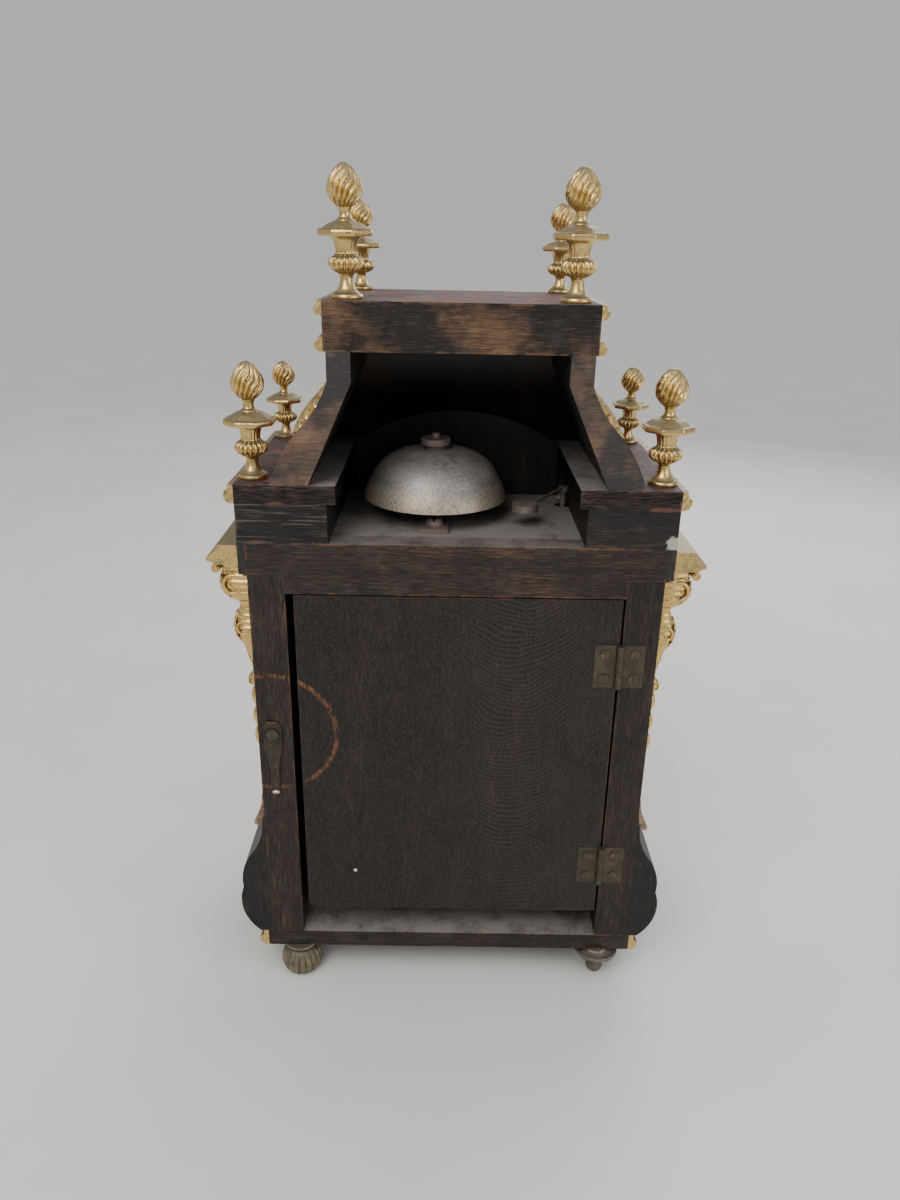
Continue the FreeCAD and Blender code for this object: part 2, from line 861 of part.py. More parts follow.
def build_gilt_work():
    """Finials, feet, consoles, cornices and mouldings."""
    rear = []
    front = []
    rear_model = finial(rear_finial_radius, rear_finial_height)
    front_model = finial(front_finial_radius, front_finial_height)
    for x, y, z, at_rear in finial_places():
        if at_rear:
            rear.append(rear_model.translated(point(x, y, z)))
        else:
            front.append(front_model.translated(point(x, y, z)))
    save("rear_finials", rear)
    save("front_finials", front)

    bun = turned(sized(bun_foot_shares, foot_radius, foot_height))
    odd = turned(sized(turned_foot_shares, turned_foot_radius, foot_height))
    foot_x = base_half - foot_side_inset
    foot_rear = rear_face - rear_foot_inset
    foot_front = ledge_front + front_foot_inset
    buns = [
        bun.translated(point(foot_x, foot_rear, 0)),
        bun.translated(point(foot_x, foot_front, 0)),
        bun.translated(point(-foot_x, foot_front, 0)),
    ]
    save("bun_feet", buns)
    save("turned_foot", [odd.translated(point(-foot_x, foot_rear, 0))])

    cornice = prism(
        sized(cornice_shares, cornice_reach, cornice_height),
        lambda u, v: point(half_case + fascia_thickness + u, front_edge, cornice_low + v),
        point(0, case_depth, 0),
    )
    save("cornice_slabs", both_sides(cornice))

    def console(y_low):
        scroll = prism(
            sized(console_shares, console_reach, console_height),
            lambda u, v: point(half_case + u, y_low, console_low + v),
            point(0, console_width, 0),
        )
        behind = box(
            (half_case - cut_overrun, y_low - cut_overrun, stile_top),
            (half_case + fascia_thickness, y_low + console_width + cut_overrun, cornice_low + cut_overrun),
        )
        scroll = scroll.cut(behind)
        husk_points = [(0, 0, 0.0)]
        for index in range(husk_count):
            husk_points.append(
                (husk_thickness, (index + husk_crest_share) / husk_count * husk_length, -husk_bulge_share),
            )
            husk_points.append(
                (husk_dip_share * husk_thickness, (index + 1) / husk_count * husk_length, 0.0),
            )
        husk_points.append((0, husk_length + console_height * husk_lap_share, 0.0))
        husk_low = y_low + (console_width - husk_width) / 2
        husks = prism(
            husk_points,
            lambda u, v: point(half_case + u, husk_low, console_low - husk_length + v),
            point(0, husk_width, 0),
        )
        return joined(scroll, [husks])

    rear_low = rear_face - console_end_inset - console_width
    front_low = front_edge + console_end_inset
    save("side_consoles", both_sides(console(rear_low)) + both_sides(console(front_low)))

    def moulding(half, front_y, low, reach, height):
        """A moulding along both sides and the front, mitred at the corners."""
        path = Part.makePolygon(
            [
                point(half, rear_face, low),
                point(half, front_y, low),
                point(-half, front_y, low),
                point(-half, rear_face, low),
            ]
        )
        section = outline(
            sized(moulding_shares, reach, height), lambda u, v: point(half + u, rear_face, low + v)
        )
        sweep = Part.BRepOffsetAPI.MakePipeShell(path)
        sweep.setTransitionMode(mitred_corners)
        sweep.add(section)
        sweep.build()
        sweep.makeSolid()
        return sweep.shape()

    mouldings = [
        moulding(base_half, ledge_front, foot_height, moulding_reach, base_thickness),
        moulding(frieze_half, ledge_front, frieze_top, moulding_reach, ledge_height),
    ]
    for low in (roof_top, crown_top - crown_moulding_height):
        mouldings.append(
            moulding(crown_half, crown_front, low, crown_moulding_reach, crown_moulding_height),
        )
    save("gilt_mouldings", mouldings)


# Back door with its hinges and latch


def build_back_door():
    """The back door, two butt hinges with screws, and the turn latch."""
    door_left = -stile_inner + door_hinge_gap
    door_right = stile_inner - door_latch_gap
    panel = box((door_left, rear_face - door_thickness, door_bottom), (door_right, rear_face, door_top))
    corner = [edge for edge in panel.Edges if is_corner(edge, door_right, door_bottom)]
    panel = panel.makeFillet(door_corner_radius, corner)
    for centre in hinge_centres:
        panel = panel.cut(hinge_pocket(centre))
    save("back_door", [panel.cut(screw_holes(1))])

    case_leaves = []
    door_leaves = []
    pins = []
    for centre in hinge_centres:
        low = centre - hinge_height / 2
        third = hinge_height / knuckle_count
        bore = rod(
            hinge_pin_radius + running_clearance,
            point(hinge_x, hinge_y, low - cut_overrun),
            point(hinge_x, hinge_y, low + hinge_height + cut_overrun),
        )

        def barrel(index, radius, gap):
            start = point(hinge_x, hinge_y, low + index * third + gap)
            return rod(radius, start, point(hinge_x, hinge_y, low + (index + 1) * third - gap))

        def leaf(side, own, others):
            ends = sorted((hinge_x, hinge_x + side * hinge_leaf_width))
            plate = box(
                (ends[0], rear_face + hinge_leaf_proud - hinge_leaf_thickness, low),
                (ends[1], rear_face + hinge_leaf_proud, low + hinge_height),
            )
            for index in others:
                plate = plate.cut(barrel(index, hinge_knuckle_radius + moving_clearance, 0))
            knuckles = [barrel(index, hinge_knuckle_radius, hinge_knuckle_gap / 2) for index in own]
            return plate.fuse(knuckles).cut([bore] + screw_holes(side))

        case_leaves.append(leaf(-1, (0, 2), (1,)))
        door_leaves.append(leaf(1, (1,), (0, 2)))
        pins.append(
            rod(
                hinge_pin_radius,
                point(hinge_x, hinge_y, low),
                point(hinge_x, hinge_y, low + hinge_height),
            ),
        )
    save("hinge_case_leaves", case_leaves)
    save("hinge_door_leaves", door_leaves)
    save("hinge_pins", pins)

    seat = rear_face + hinge_leaf_proud
    screw = slotted_screw(
        screw_shank_radius,
        screw_shank_length + hinge_leaf_proud,
        screw_head_radius,
        screw_head_thickness,
        screw_slot_width,
        screw_slot_depth,
    )
    door_screws = [screw.translated(point(x, seat, z)) for x, z in screw_places(1)]
    case_screws = [screw.translated(point(x, seat, z)) for x, z in screw_places(-1)]
    save("hinge_door_screws", door_screws)

    latch_seat = rear_face + moving_clearance
    head = latch_head_width / 2
    tail = latch_tail_width / 2
    shoulder = -latch_tail_length * latch_shoulder_share
    latch = prism(
        [
            (-tail, shoulder, 0.0),
            (-tail, -latch_tail_length + tail, 0.0),
            (tail, -latch_tail_length + tail, -latch_tip_bulge_share),
            (tail, shoulder, 0.0),
            (head, 0, 0.0),
            (0, latch_head_rise, -latch_crown_share),
            (-head, 0, -latch_crown_share),
        ],
        lambda u, v: point(latch_x + u, latch_seat, latch_z + v),
        point(0, latch_thickness, 0),
    )
    hole = rod(
        latch_screw_radius + running_clearance,
        point(latch_x, latch_seat - cut_overrun, latch_z),
        point(latch_x, latch_seat + latch_thickness + cut_overrun, latch_z),
    )
    save("turn_latch", [latch.cut(hole)])
    latch_screw = slotted_screw(
        latch_screw_radius,
        latch_screw_length + moving_clearance + latch_thickness + running_clearance,
        latch_screw_head_radius,
        latch_screw_head_thickness,
        screw_slot_width,
        screw_slot_depth,
    )
    head_seat = latch_seat + latch_thickness + running_clearance
    save("case_screws", case_screws + [latch_screw.translated(point(latch_x, head_seat, latch_z))])


def is_corner(edge, x, z):
    """True for the edge along Y at the given corner of a panel."""
    middle = edge.CenterOfMass
    return abs(middle.x - x) < cut_overrun and abs(middle.z - z) < cut_overrun


# Bell and hammer


def build_bell():
    """The bell on its strap stand, with nut and screw."""
    outer = sized(bell_shares, bell_radius, bell_height)
    inner = sized(bell_shares, bell_radius - bell_wall, bell_height - bell_wall)
    bore = bell_post_radius + running_clearance
    crown = bell_height
    section = outer + [(bore, crown, 0.0), (bore, crown - bell_wall, 0.0)]
    for index in range(len(inner) - 1, -1, -1):
        u, v, _ = inner[index]
        bulge = 0.0 if index == len(inner) - 1 else -inner[index + 1][2]
        section.append((u, v, bulge))
    save("bell", [turned(section).translated(point(bell_x, bell_y, bell_rim))])

    strap_low = case_top
    strap_high = strap_low + stand_strap_thickness
    half = stand_strap_width / 2
    strap = box(
        (bell_x - half, bell_y - half, strap_low),
        (bell_x + half, bell_y + stand_strap_reach, strap_high),
    )
    collar_top = bell_crown - bell_wall
    centre = point(bell_x, bell_y, strap_low)
    post_top = bell_crown + bell_washer_thickness + bell_nut_thickness + bell_post_top_length
    collar = rod(bell_collar_radius, point(bell_x, bell_y, strap_low), point(bell_x, bell_y, collar_top))
    post = rod(bell_post_radius, centre, point(bell_x, bell_y, post_top))
    screw_y = bell_y + stand_screw_reach
    screw_hole = rod(
        stand_screw_radius + running_clearance,
        point(bell_x, screw_y, strap_low - cut_overrun),
        point(bell_x, screw_y, strap_high + cut_overrun),
    )
    save("bell_stand", [strap.fuse([collar, post]).cut(screw_hole)])

    nut_bore = bell_post_radius + running_clearance
    washer_top = bell_crown + bell_washer_thickness
    nut = rod(bell_washer_radius, point(bell_x, bell_y, bell_crown), point(bell_x, bell_y, washer_top))
    nut_top = washer_top + bell_nut_thickness
    nut = nut.fuse(rod(bell_nut_radius, point(bell_x, bell_y, washer_top), point(bell_x, bell_y, nut_top)))
    nut = nut.cut(rod(nut_bore, centre, point(bell_x, bell_y, nut_top + cut_overrun)))

    dome = Part.makeSphere(stand_screw_head_radius, point(bell_x, screw_y, strap_high))
    keep = rod(
        stand_screw_head_radius,
        point(bell_x, screw_y, strap_high),
        point(bell_x, screw_y, strap_high + stand_screw_head_height),
    )
    shank = rod(
        stand_screw_radius,
        point(bell_x, screw_y, case_top - stand_screw_length),
        point(bell_x, screw_y, strap_high),
    )
    slot = box(
        (
            bell_x - stand_slot_width / 2,
            screw_y - stand_screw_head_radius,
            strap_high + stand_screw_head_height - stand_slot_depth,
        ),
        (
            bell_x + stand_slot_width / 2,
            screw_y + stand_screw_head_radius,
            strap_high + stand_screw_head_height + cut_overrun,
        ),
    )
    save("bell_fixings", [nut, dome.common(keep).fuse(shank).cut(slot)])


def hammer_head_place():
    """Where the hammer head rests, in plan."""
    angle = math.radians(hammer_arm_angle)
    return hammer_x + hammer_arm_length * math.cos(angle), hammer_y + hammer_arm_length * math.sin(angle)


def hammer_strike_angle():
    """Degrees from rest until the head stands just short of the bell."""
    across = math.hypot(bell_x - hammer_x, bell_y - hammer_y)
    bearing = math.degrees(math.atan2(bell_y - hammer_y, bell_x - hammer_x))
    reach = bell_radius + hammer_head_radius + hammer_strike_gap
    cosine = (across**2 + hammer_arm_length**2 - reach**2) / (2 * across * hammer_arm_length)
    return hammer_arm_angle - bearing - math.degrees(math.acos(cosine))


def build_hammer():
    """The upright hammer arbor with its wire arm, the disc head, and the stop bar."""
    arm_z = case_top + hammer_arm_rise
    knob_low = case_top + hammer_arbor_rise
    arbor = rod(
        hammer_arbor_radius,
        point(hammer_x, hammer_y, hammer_foot_height),
        point(hammer_x, hammer_y, knob_low),
    )
    knob = rod(
        hammer_knob_radius,
        point(hammer_x, hammer_y, knob_low),
        point(hammer_x, hammer_y, knob_low + hammer_knob_height),
    )
    head_x, head_y = hammer_head_place()
    arm = rod(hammer_arm_radius, point(hammer_x, hammer_y, arm_z), point(head_x, head_y, arm_z))
    head_low = arm_z - hammer_head_thickness / 2
    head = rod(
        hammer_head_radius,
        point(head_x, head_y, head_low),
        point(head_x, head_y, head_low + hammer_head_thickness),
    )
    save("hammer_arbor", [arbor.fuse([knob, arm]).cut(head)])
    save("hammer_head", [head])

    stop_y = rear_face - stop_setback
    stop_z = case_top + stop_radius
    stop = rod(
        stop_radius,
        point(-frieze_inner, stop_y, stop_z),
        point(-frieze_inner + stop_length, stop_y, stop_z),
    )
    save("hammer_stop", [stop])


# Front door and dial


def arch_points(half, foot, margin):
    """An upright opening with a round head over the dial, grown by a margin."""
    reach = half + margin
    return [
        (-reach, foot - margin, 0.0),
        (reach, foot - margin, 0.0),
        (reach, dial_centre_height, 0.0),
        (-reach, dial_centre_height, -half_round_share),
    ]


def build_front_door():
    """The glazed front door turning on two pivot pins at its hinge edge."""
    radius = front_door_thickness / 2
    frame = box(
        (pivot_x, front_door_front, front_door_low),
        (front_door_half, front_door_back, front_door_high),
    )
    edge = rod(radius, point(pivot_x, pivot_y, front_door_low), point(pivot_x, pivot_y, front_door_high))
    foot = base_top + glass_foot_rise
    opening = prism(
        arch_points(glass_half_width, foot, 0),
        lambda u, v: point(u, front_door_front - cut_overrun, v),
        point(0, front_door_thickness + 2 * cut_overrun, 0),
    )
    rebate_front = front_door_back - rebate_depth
    rebate = prism(
        arch_points(glass_half_width, foot, rebate_margin),
        lambda u, v: point(u, rebate_front, v),
        point(0, rebate_depth + cut_overrun, 0),
    )
    bore_low = rod(
        pivot_pin_radius,
        point(pivot_x, pivot_y, front_door_low),
        point(pivot_x, pivot_y, front_door_low + pivot_pin_length),
    )
    bore_high = rod(
        pivot_pin_radius,
        point(pivot_x, pivot_y, front_door_high - pivot_pin_length),
        point(pivot_x, pivot_y, front_door_high),
    )
    save("front_door", [frame.fuse(edge).removeSplitter().cut([opening, rebate, bore_low, bore_high])])

    glass = prism(
        arch_points(glass_half_width, foot, rebate_margin),
        lambda u, v: point(u, rebate_front, v),
        point(0, glass_thickness, 0),
    )
    save("door_glass", [glass])

    bezel = prism(
        arch_points(glass_half_width, foot, bezel_width),
        lambda u, v: point(u, front_door_front - bezel_thickness, v),
        point(0, bezel_thickness, 0),
    )
    hole = prism(
        arch_points(glass_half_width, foot, 0),
        lambda u, v: point(u, front_door_front - bezel_thickness - cut_overrun, v),
        point(0, bezel_thickness + 2 * cut_overrun, 0),
    )
    save("glass_bezel", [bezel.cut(hole)])

    low_pin = rod(
        pivot_pin_radius,
        point(pivot_x, pivot_y, base_top - pivot_pin_length + running_clearance),
        point(pivot_x, pivot_y, front_door_low + pivot_pin_length),
    )
    high_pin = rod(
        pivot_pin_radius,
        point(pivot_x, pivot_y, front_door_high - pivot_pin_length),
        point(pivot_x, pivot_y, case_top + pivot_pin_length - running_clearance),
    )
    save("door_pivot_pins", [low_pin, high_pin])


def hand(length, angle, y_front, bore, hub):
    """A pierced-style hand pointing at an angle clockwise from twelve."""
    blade = prism(
        sized(hand_shares, hand_width, length),
        lambda u, v: point(u, y_front, dial_centre_height + v),
        point(0, hand_thickness, 0),
    )
    centre = point(0, y_front, dial_centre_height)
    boss = rod(hub, centre, point(0, y_front + hand_thickness, dial_centre_height))
    hole = rod(bore, centre - back * cut_overrun, centre + back * (hand_thickness + cut_overrun))
    return turn_about(blade.fuse(boss).cut(hole), angle, 0, dial_centre_height)


def build_dial():
    """Battens, dial plate, chapter ring, hour plaques and hands."""
    batten_low = base_top
    batten_high = case_top - top_board_thickness
    batten = box(
        (inner_half - batten_width, dial_back, batten_low),
        (inner_half, dial_back + batten_depth, batten_high),
    )
    save("dial_battens", both_sides(batten))

    plate = box((-inner_half, dial_front, base_top), (inner_half, dial_back, batten_high))
    bores = [round_hole(0, 0, hour_pipe_radius + moving_clearance)]
    for x, z in (going_place(), strike_place()):
        bores.append(round_hole(x, z, winding_arbor_radius + moving_clearance))
    save("dial_plate", [plate.cut(bores)])

    ring_front = dial_front - chapter_thickness
    centre = point(0, ring_front, dial_centre_height)
    ring = rod(chapter_outer_radius, centre, point(0, dial_front, dial_centre_height))
    ring = ring.cut(rod(chapter_inner_radius, centre, point(0, dial_front, dial_centre_height)))
    plaques = []
    middle = (chapter_outer_radius + chapter_inner_radius) / 2
    for hour in range(hour_count):
        angle = 2 * math.pi * hour / hour_count
        x = middle * math.sin(angle)
        z = dial_centre_height + middle * math.cos(angle)
        plaques.append(
            rod(plaque_radius, point(x, ring_front - plaque_thickness, z), point(x, ring_front, z)),
        )
    save("chapter_ring", [ring] + plaques)

    hour_front = dial_front - hour_hand_lift - hand_thickness
    minute_front = dial_front - minute_hand_lift - hand_thickness
    save(
        "hour_hand",
        [hand(hour_hand_length, hour_hand_angle, hour_front, hour_pipe_radius, hour_boss_radius)],
    )
    save(
        "minute_hand",
        [hand(minute_hand_length, minute_hand_angle, minute_front, centre_arbor_radius, minute_boss_radius)],
    )


# Movement: wheels with cut teeth


def round_hole(x, z, radius):
    """A bore along Y through everything, at a place measured from the dial centre."""
    start = point(x, front_edge, dial_centre_height + z)
    return rod(radius, start, point(x, rear_face, dial_centre_height + z))


def tooth_points(teeth, module, phase):
    """Corners of a toothed rim with involute flanks, one tooth centred on the phase angle."""
    pitch = teeth * module / 2
    tip = pitch + module * tooth_tip_share
    root = pitch - module * tooth_root_share
    slope = math.radians(pressure_angle)
    base = pitch * math.cos(slope)
    half = (math.pi / 2 - tooth_thin_share) / teeth
    start = max(base, root)

    def half_angle(radius):
        lean = math.acos(min(base / radius, 1))
        return half + math.tan(slope) - slope - math.tan(lean) + lean

    radii = [start + (tip - start) * share for share in flank_shares]
    flank = [(radius, half_angle(radius)) for radius in radii]
    if base > root:
        flank.insert(0, (root, half_angle(start)))
    corners = []
    for tooth in range(teeth):
        middle = phase + 2 * math.pi * tooth / teeth
        corners += [(radius, middle - angle) for radius, angle in flank]
        corners += [(radius, middle + angle) for radius, angle in reversed(flank)]
    return corners


def wheel(corners, x, z, y_low, thickness, bore, rim_radius):
    """A toothed disc in the XZ plane with a bore, crossed out into arms where it has a rim radius."""
    middle = point(x, y_low, dial_centre_height + z)

    def place(radius, angle):
        return middle + point(radius * math.cos(angle), 0, radius * math.sin(angle))

    rim = [place(radius, angle) for radius, angle in corners]
    wires = [Part.makePolygon(rim + rim[:1])]
    wires.append(Part.Wire(Part.makeCircle(bore, middle, back)))
    if rim_radius:
        inner = hub_radius
        outer_skew = math.asin(arm_width / 2 / rim_radius)
        inner_skew = math.asin(arm_width / 2 / inner)
        step = 2 * math.pi / wheel_arms
        for arm in range(wheel_arms):
            first = arm * step
            last = first + step
            mid = (first + last) / 2
            a = place(inner, first + inner_skew)
            b = place(rim_radius, first + outer_skew)
            c = place(rim_radius, last - outer_skew)
            d = place(inner, last - inner_skew)
            edges = [
                Part.LineSegment(a, b).toShape(),
                Part.Arc(b, place(rim_radius, mid), c).toShape(),
                Part.LineSegment(c, d).toShape(),
                Part.Arc(d, place(inner, mid), a).toShape(),
            ]
            wires.append(Part.Wire(edges))
    face = Part.makeFace(wires, "Part::FaceMakerBullseye")
    return face.extrude(back * thickness)


def rim_radius(teeth, module):
    """Inner radius of a crossed wheel's rim."""
    return teeth * module / 2 - module * tooth_root_share - rim_width


def mesh_distance(first, second, module):
    return (first + second) * module / 2


def going_place():
    """Place of the going barrel, from the dial centre."""
    reach = mesh_distance(great_teeth, great_pinion_teeth, great_module)
    angle = math.radians(barrel_angle)
    return reach * math.cos(angle), reach * math.sin(angle)


def strike_place():
    """The striking barrel mirrors the going barrel."""
    x, z = going_place()
    return -x, z


def third_place():
    reach = mesh_distance(centre_teeth, third_pinion_teeth, centre_module)
    angle = math.radians(third_angle)
    return reach * math.cos(angle), reach * math.sin(angle)


def escape_place():
    """The escape arbor stands straight over the dial centre."""
    x, z = third_place()
    reach = mesh_distance(third_teeth, escape_pinion_teeth, third_module)
    return 0, z + math.sqrt(reach**2 - x**2)


def pallet_place():
    x, z = escape_place()
    return x, z + pallet_rise


def minute_wheel_place():
    reach = mesh_distance(cannon_teeth, minute_teeth, minute_module)
    angle = math.radians(minute_wheel_angle)
    return reach * math.cos(angle), reach * math.sin(angle)


def pin_wheel_place():
    x, z = strike_place()
    reach = mesh_distance(great_teeth, great_pinion_teeth, great_module)
    angle = math.radians(pin_wheel_angle)
    return x + reach * math.cos(angle), z + reach * math.sin(angle)


def fly_place():
    x, z = pin_wheel_place()
    reach = mesh_distance(pin_teeth, fly_pinion_teeth, pin_module)
    angle = math.radians(fly_angle)
    return x + reach * math.cos(angle), z + reach * math.sin(angle)


def pair(driver, driver_place, follower, follower_place, module):
    """Rims of two wheels in mesh: a tooth of the driver stands in a gap of the follower."""
    bearing = math.atan2(follower_place[1] - driver_place[1], follower_place[0] - driver_place[0])
    gap = bearing + math.pi + math.pi / follower
    return tooth_points(driver, module, bearing), tooth_points(follower, module, gap)


def arbor(place, radius, y_low, y_high):
    """A round shaft along Y."""
    x, z = place
    return rod(radius, point(x, y_low, dial_centre_height + z), point(x, y_high, dial_centre_height + z))


def build_train():
    """Barrels, going train, striking train and motion work."""
    centre = (0, 0)
    going = going_place()
    strike = strike_place()
    third = third_place()
    escape = escape_place()
    pins = pin_wheel_place()
    fly = fly_place()
    minute = minute_wheel_place()
    plate_in = front_plate_back

    great_rim, centre_pinion_rim = pair(great_teeth, going, great_pinion_teeth, centre, great_module)
    strike_rim, pin_pinion_rim = pair(great_teeth, strike, great_pinion_teeth, pins, great_module)
    centre_rim, third_pinion_rim = pair(centre_teeth, centre, third_pinion_teeth, third, centre_module)
    third_rim, escape_pinion_rim = pair(third_teeth, third, escape_pinion_teeth, escape, third_module)
    pin_rim, fly_pinion_rim = pair(pin_teeth, pins, fly_pinion_teeth, fly, pin_module)
    cannon_rim, minute_rim = pair(cannon_teeth, centre, minute_teeth, minute, minute_module)
    minute_pinion_rim, hour_rim = pair(minute_pinion_teeth, minute, hour_teeth, centre, hour_module)

    def cut_wheel(rim, place, y, thickness, bore, teeth, module):
        return wheel(rim, place[0], place[1], y, thickness, bore, rim_radius(teeth, module))

    def pinion(rim, place, y, length, bore):
        return wheel(rim, place[0], place[1], y, length, bore, 0)

    drum_bore = winding_arbor_radius + running_clearance
    for name, place, rim, seat in (
        ("going_barrel", going, great_rim, plate_in + great_place),
        ("strike_barrel", strike, strike_rim, plate_in + strike_great_place),
    ):
        drum = arbor(place, drum_radius, plate_in + drum_place, seat)
        drum = drum.cut(arbor(place, drum_bore, plate_in, back_plate_front))
        great = wheel(rim, place[0], place[1], seat, great_thickness, drum_bore, 0)
        save(name, [drum, great])

    arbors = []
    for place in (going, strike):
        shaft = arbor(place, winding_arbor_radius, front_plate_front - motion_gap, back_plate_back)
        half = winding_square_side / 2
        x, z = place
        square = box(
            (x - half, dial_front - winding_square_length, dial_centre_height + z - half),
            (x + half, front_plate_front - motion_gap, dial_centre_height + z + half),
        )
        arbors.append(shaft.fuse(square))
    save("going_winding_arbor", arbors[:1])
    save("strike_winding_arbor", arbors[1:])

    shaft = arbor(
        centre,
        centre_arbor_radius,
        dial_front - minute_hand_lift - hand_thickness,
        back_plate_back,
    )
    save(
        "centre_wheel",
        [
            shaft,
            cut_wheel(
                centre_rim,
                centre,
                plate_in + centre_wheel_place,
                wheel_thickness,
                centre_arbor_radius,
                centre_teeth,
                centre_module,
            ),
            pinion(
                centre_pinion_rim,
                centre,
                plate_in + great_pinion_place,
                pinion_length,
                centre_arbor_radius,
            ),
            pinion(
                cannon_rim, centre, front_plate_front - cannon_place - motion_thickness, motion_thickness,
                centre_arbor_radius,
            ),
        ],
    )
    save(
        "third_wheel",
        [
            arbor(third, pivot_radius, front_plate_front, back_plate_back),
            cut_wheel(
                third_rim,
                third,
                plate_in + third_wheel_place,
                wheel_thickness,
                pivot_radius,
                third_teeth,
                third_module,
            ),
            pinion(third_pinion_rim, third, plate_in + third_pinion_place, pinion_length, pivot_radius),
        ],
    )

    escape_corners = []
    for tooth in range(escape_teeth):
        angle = 2 * math.pi * tooth / escape_teeth
        step = 2 * math.pi / escape_teeth
        escape_corners.append((escape_radius - escape_depth, angle))
        escape_corners.append((escape_radius, angle + step * escape_lean_share))
        escape_corners.append((escape_radius, angle + step * escape_tip_share))
    escape_rim = escape_radius - escape_depth - rim_width / 2
    save(
        "escape_wheel",
        [
            arbor(escape, pivot_radius, front_plate_front, back_plate_back),
            wheel(
                escape_corners,
                escape[0],
                escape[1],
                plate_in + escape_wheel_place,
                wheel_thickness,
                pivot_radius,
                escape_rim,
            ),
            pinion(escape_pinion_rim, escape, plate_in + escape_pinion_place, pinion_length, pivot_radius),
        ],
    )

    lift_pins = []
    pin_back = plate_in + centre_wheel_place + wheel_thickness
    for index in range(lift_pin_count):
        angle = 2 * math.pi * (index + corner_turn_share) / lift_pin_count
        x = pins[0] + lift_pin_circle * math.cos(angle)
        z = pins[1] + lift_pin_circle * math.sin(angle)
        lift_pins.append(arbor((x, z), lift_pin_radius, pin_back, pin_back + lift_pin_length))
    save(
        "pin_wheel",
        [
            arbor(pins, pivot_radius, front_plate_front, back_plate_back),
            wheel(
                pin_rim, pins[0], pins[1], plate_in + centre_wheel_place, wheel_thickness, pivot_radius, 0
            ),
            pinion(pin_pinion_rim, pins, plate_in + pin_pinion_place, pinion_length, pivot_radius),
        ]
        + lift_pins,
    )
    vane = box(
        (
            fly[0] - fly_vane_reach,
            plate_in + fly_vane_place,
            dial_centre_height + fly[1] - fly_vane_thickness / 2,
        ),
        (
            fly[0] + fly_vane_reach,
            plate_in + fly_vane_place + fly_vane_length,
            dial_centre_height + fly[1] + fly_vane_thickness / 2,
        ),
    )
    save(
        "fly",
        [
            arbor(fly, pivot_radius, front_plate_front, back_plate_back).fuse(vane),
            pinion(fly_pinion_rim, fly, plate_in + third_pinion_place, pinion_length, pivot_radius),
        ],
    )

    minute_low = front_plate_front - cannon_place - motion_thickness
    pinion_low = front_plate_front - minute_pinion_place - motion_thickness
    save(
        "minute_wheel",
        [
            arbor(minute, pivot_radius, pinion_low, front_plate_back),
            cut_wheel(
                minute_rim,
                minute,
                minute_low,
                motion_thickness,
                pivot_radius,
                minute_teeth,
                minute_module,
            ),
            pinion(minute_pinion_rim, minute, pinion_low, motion_thickness, pivot_radius),
        ],
    )
    pipe = arbor(
        centre,
        hour_pipe_radius,
        dial_front - hour_hand_lift - hand_thickness,
        pinion_low + motion_thickness,
    )
    pipe = pipe.cut(round_hole(0, 0, hour_pipe_bore))
    save(
        "hour_wheel",
        [
            pipe,
            cut_wheel(
                hour_rim,
                centre,
                pinion_low,
                motion_thickness,
                hour_pipe_radius,
                hour_teeth,
                hour_module,
            ),
        ],
    )


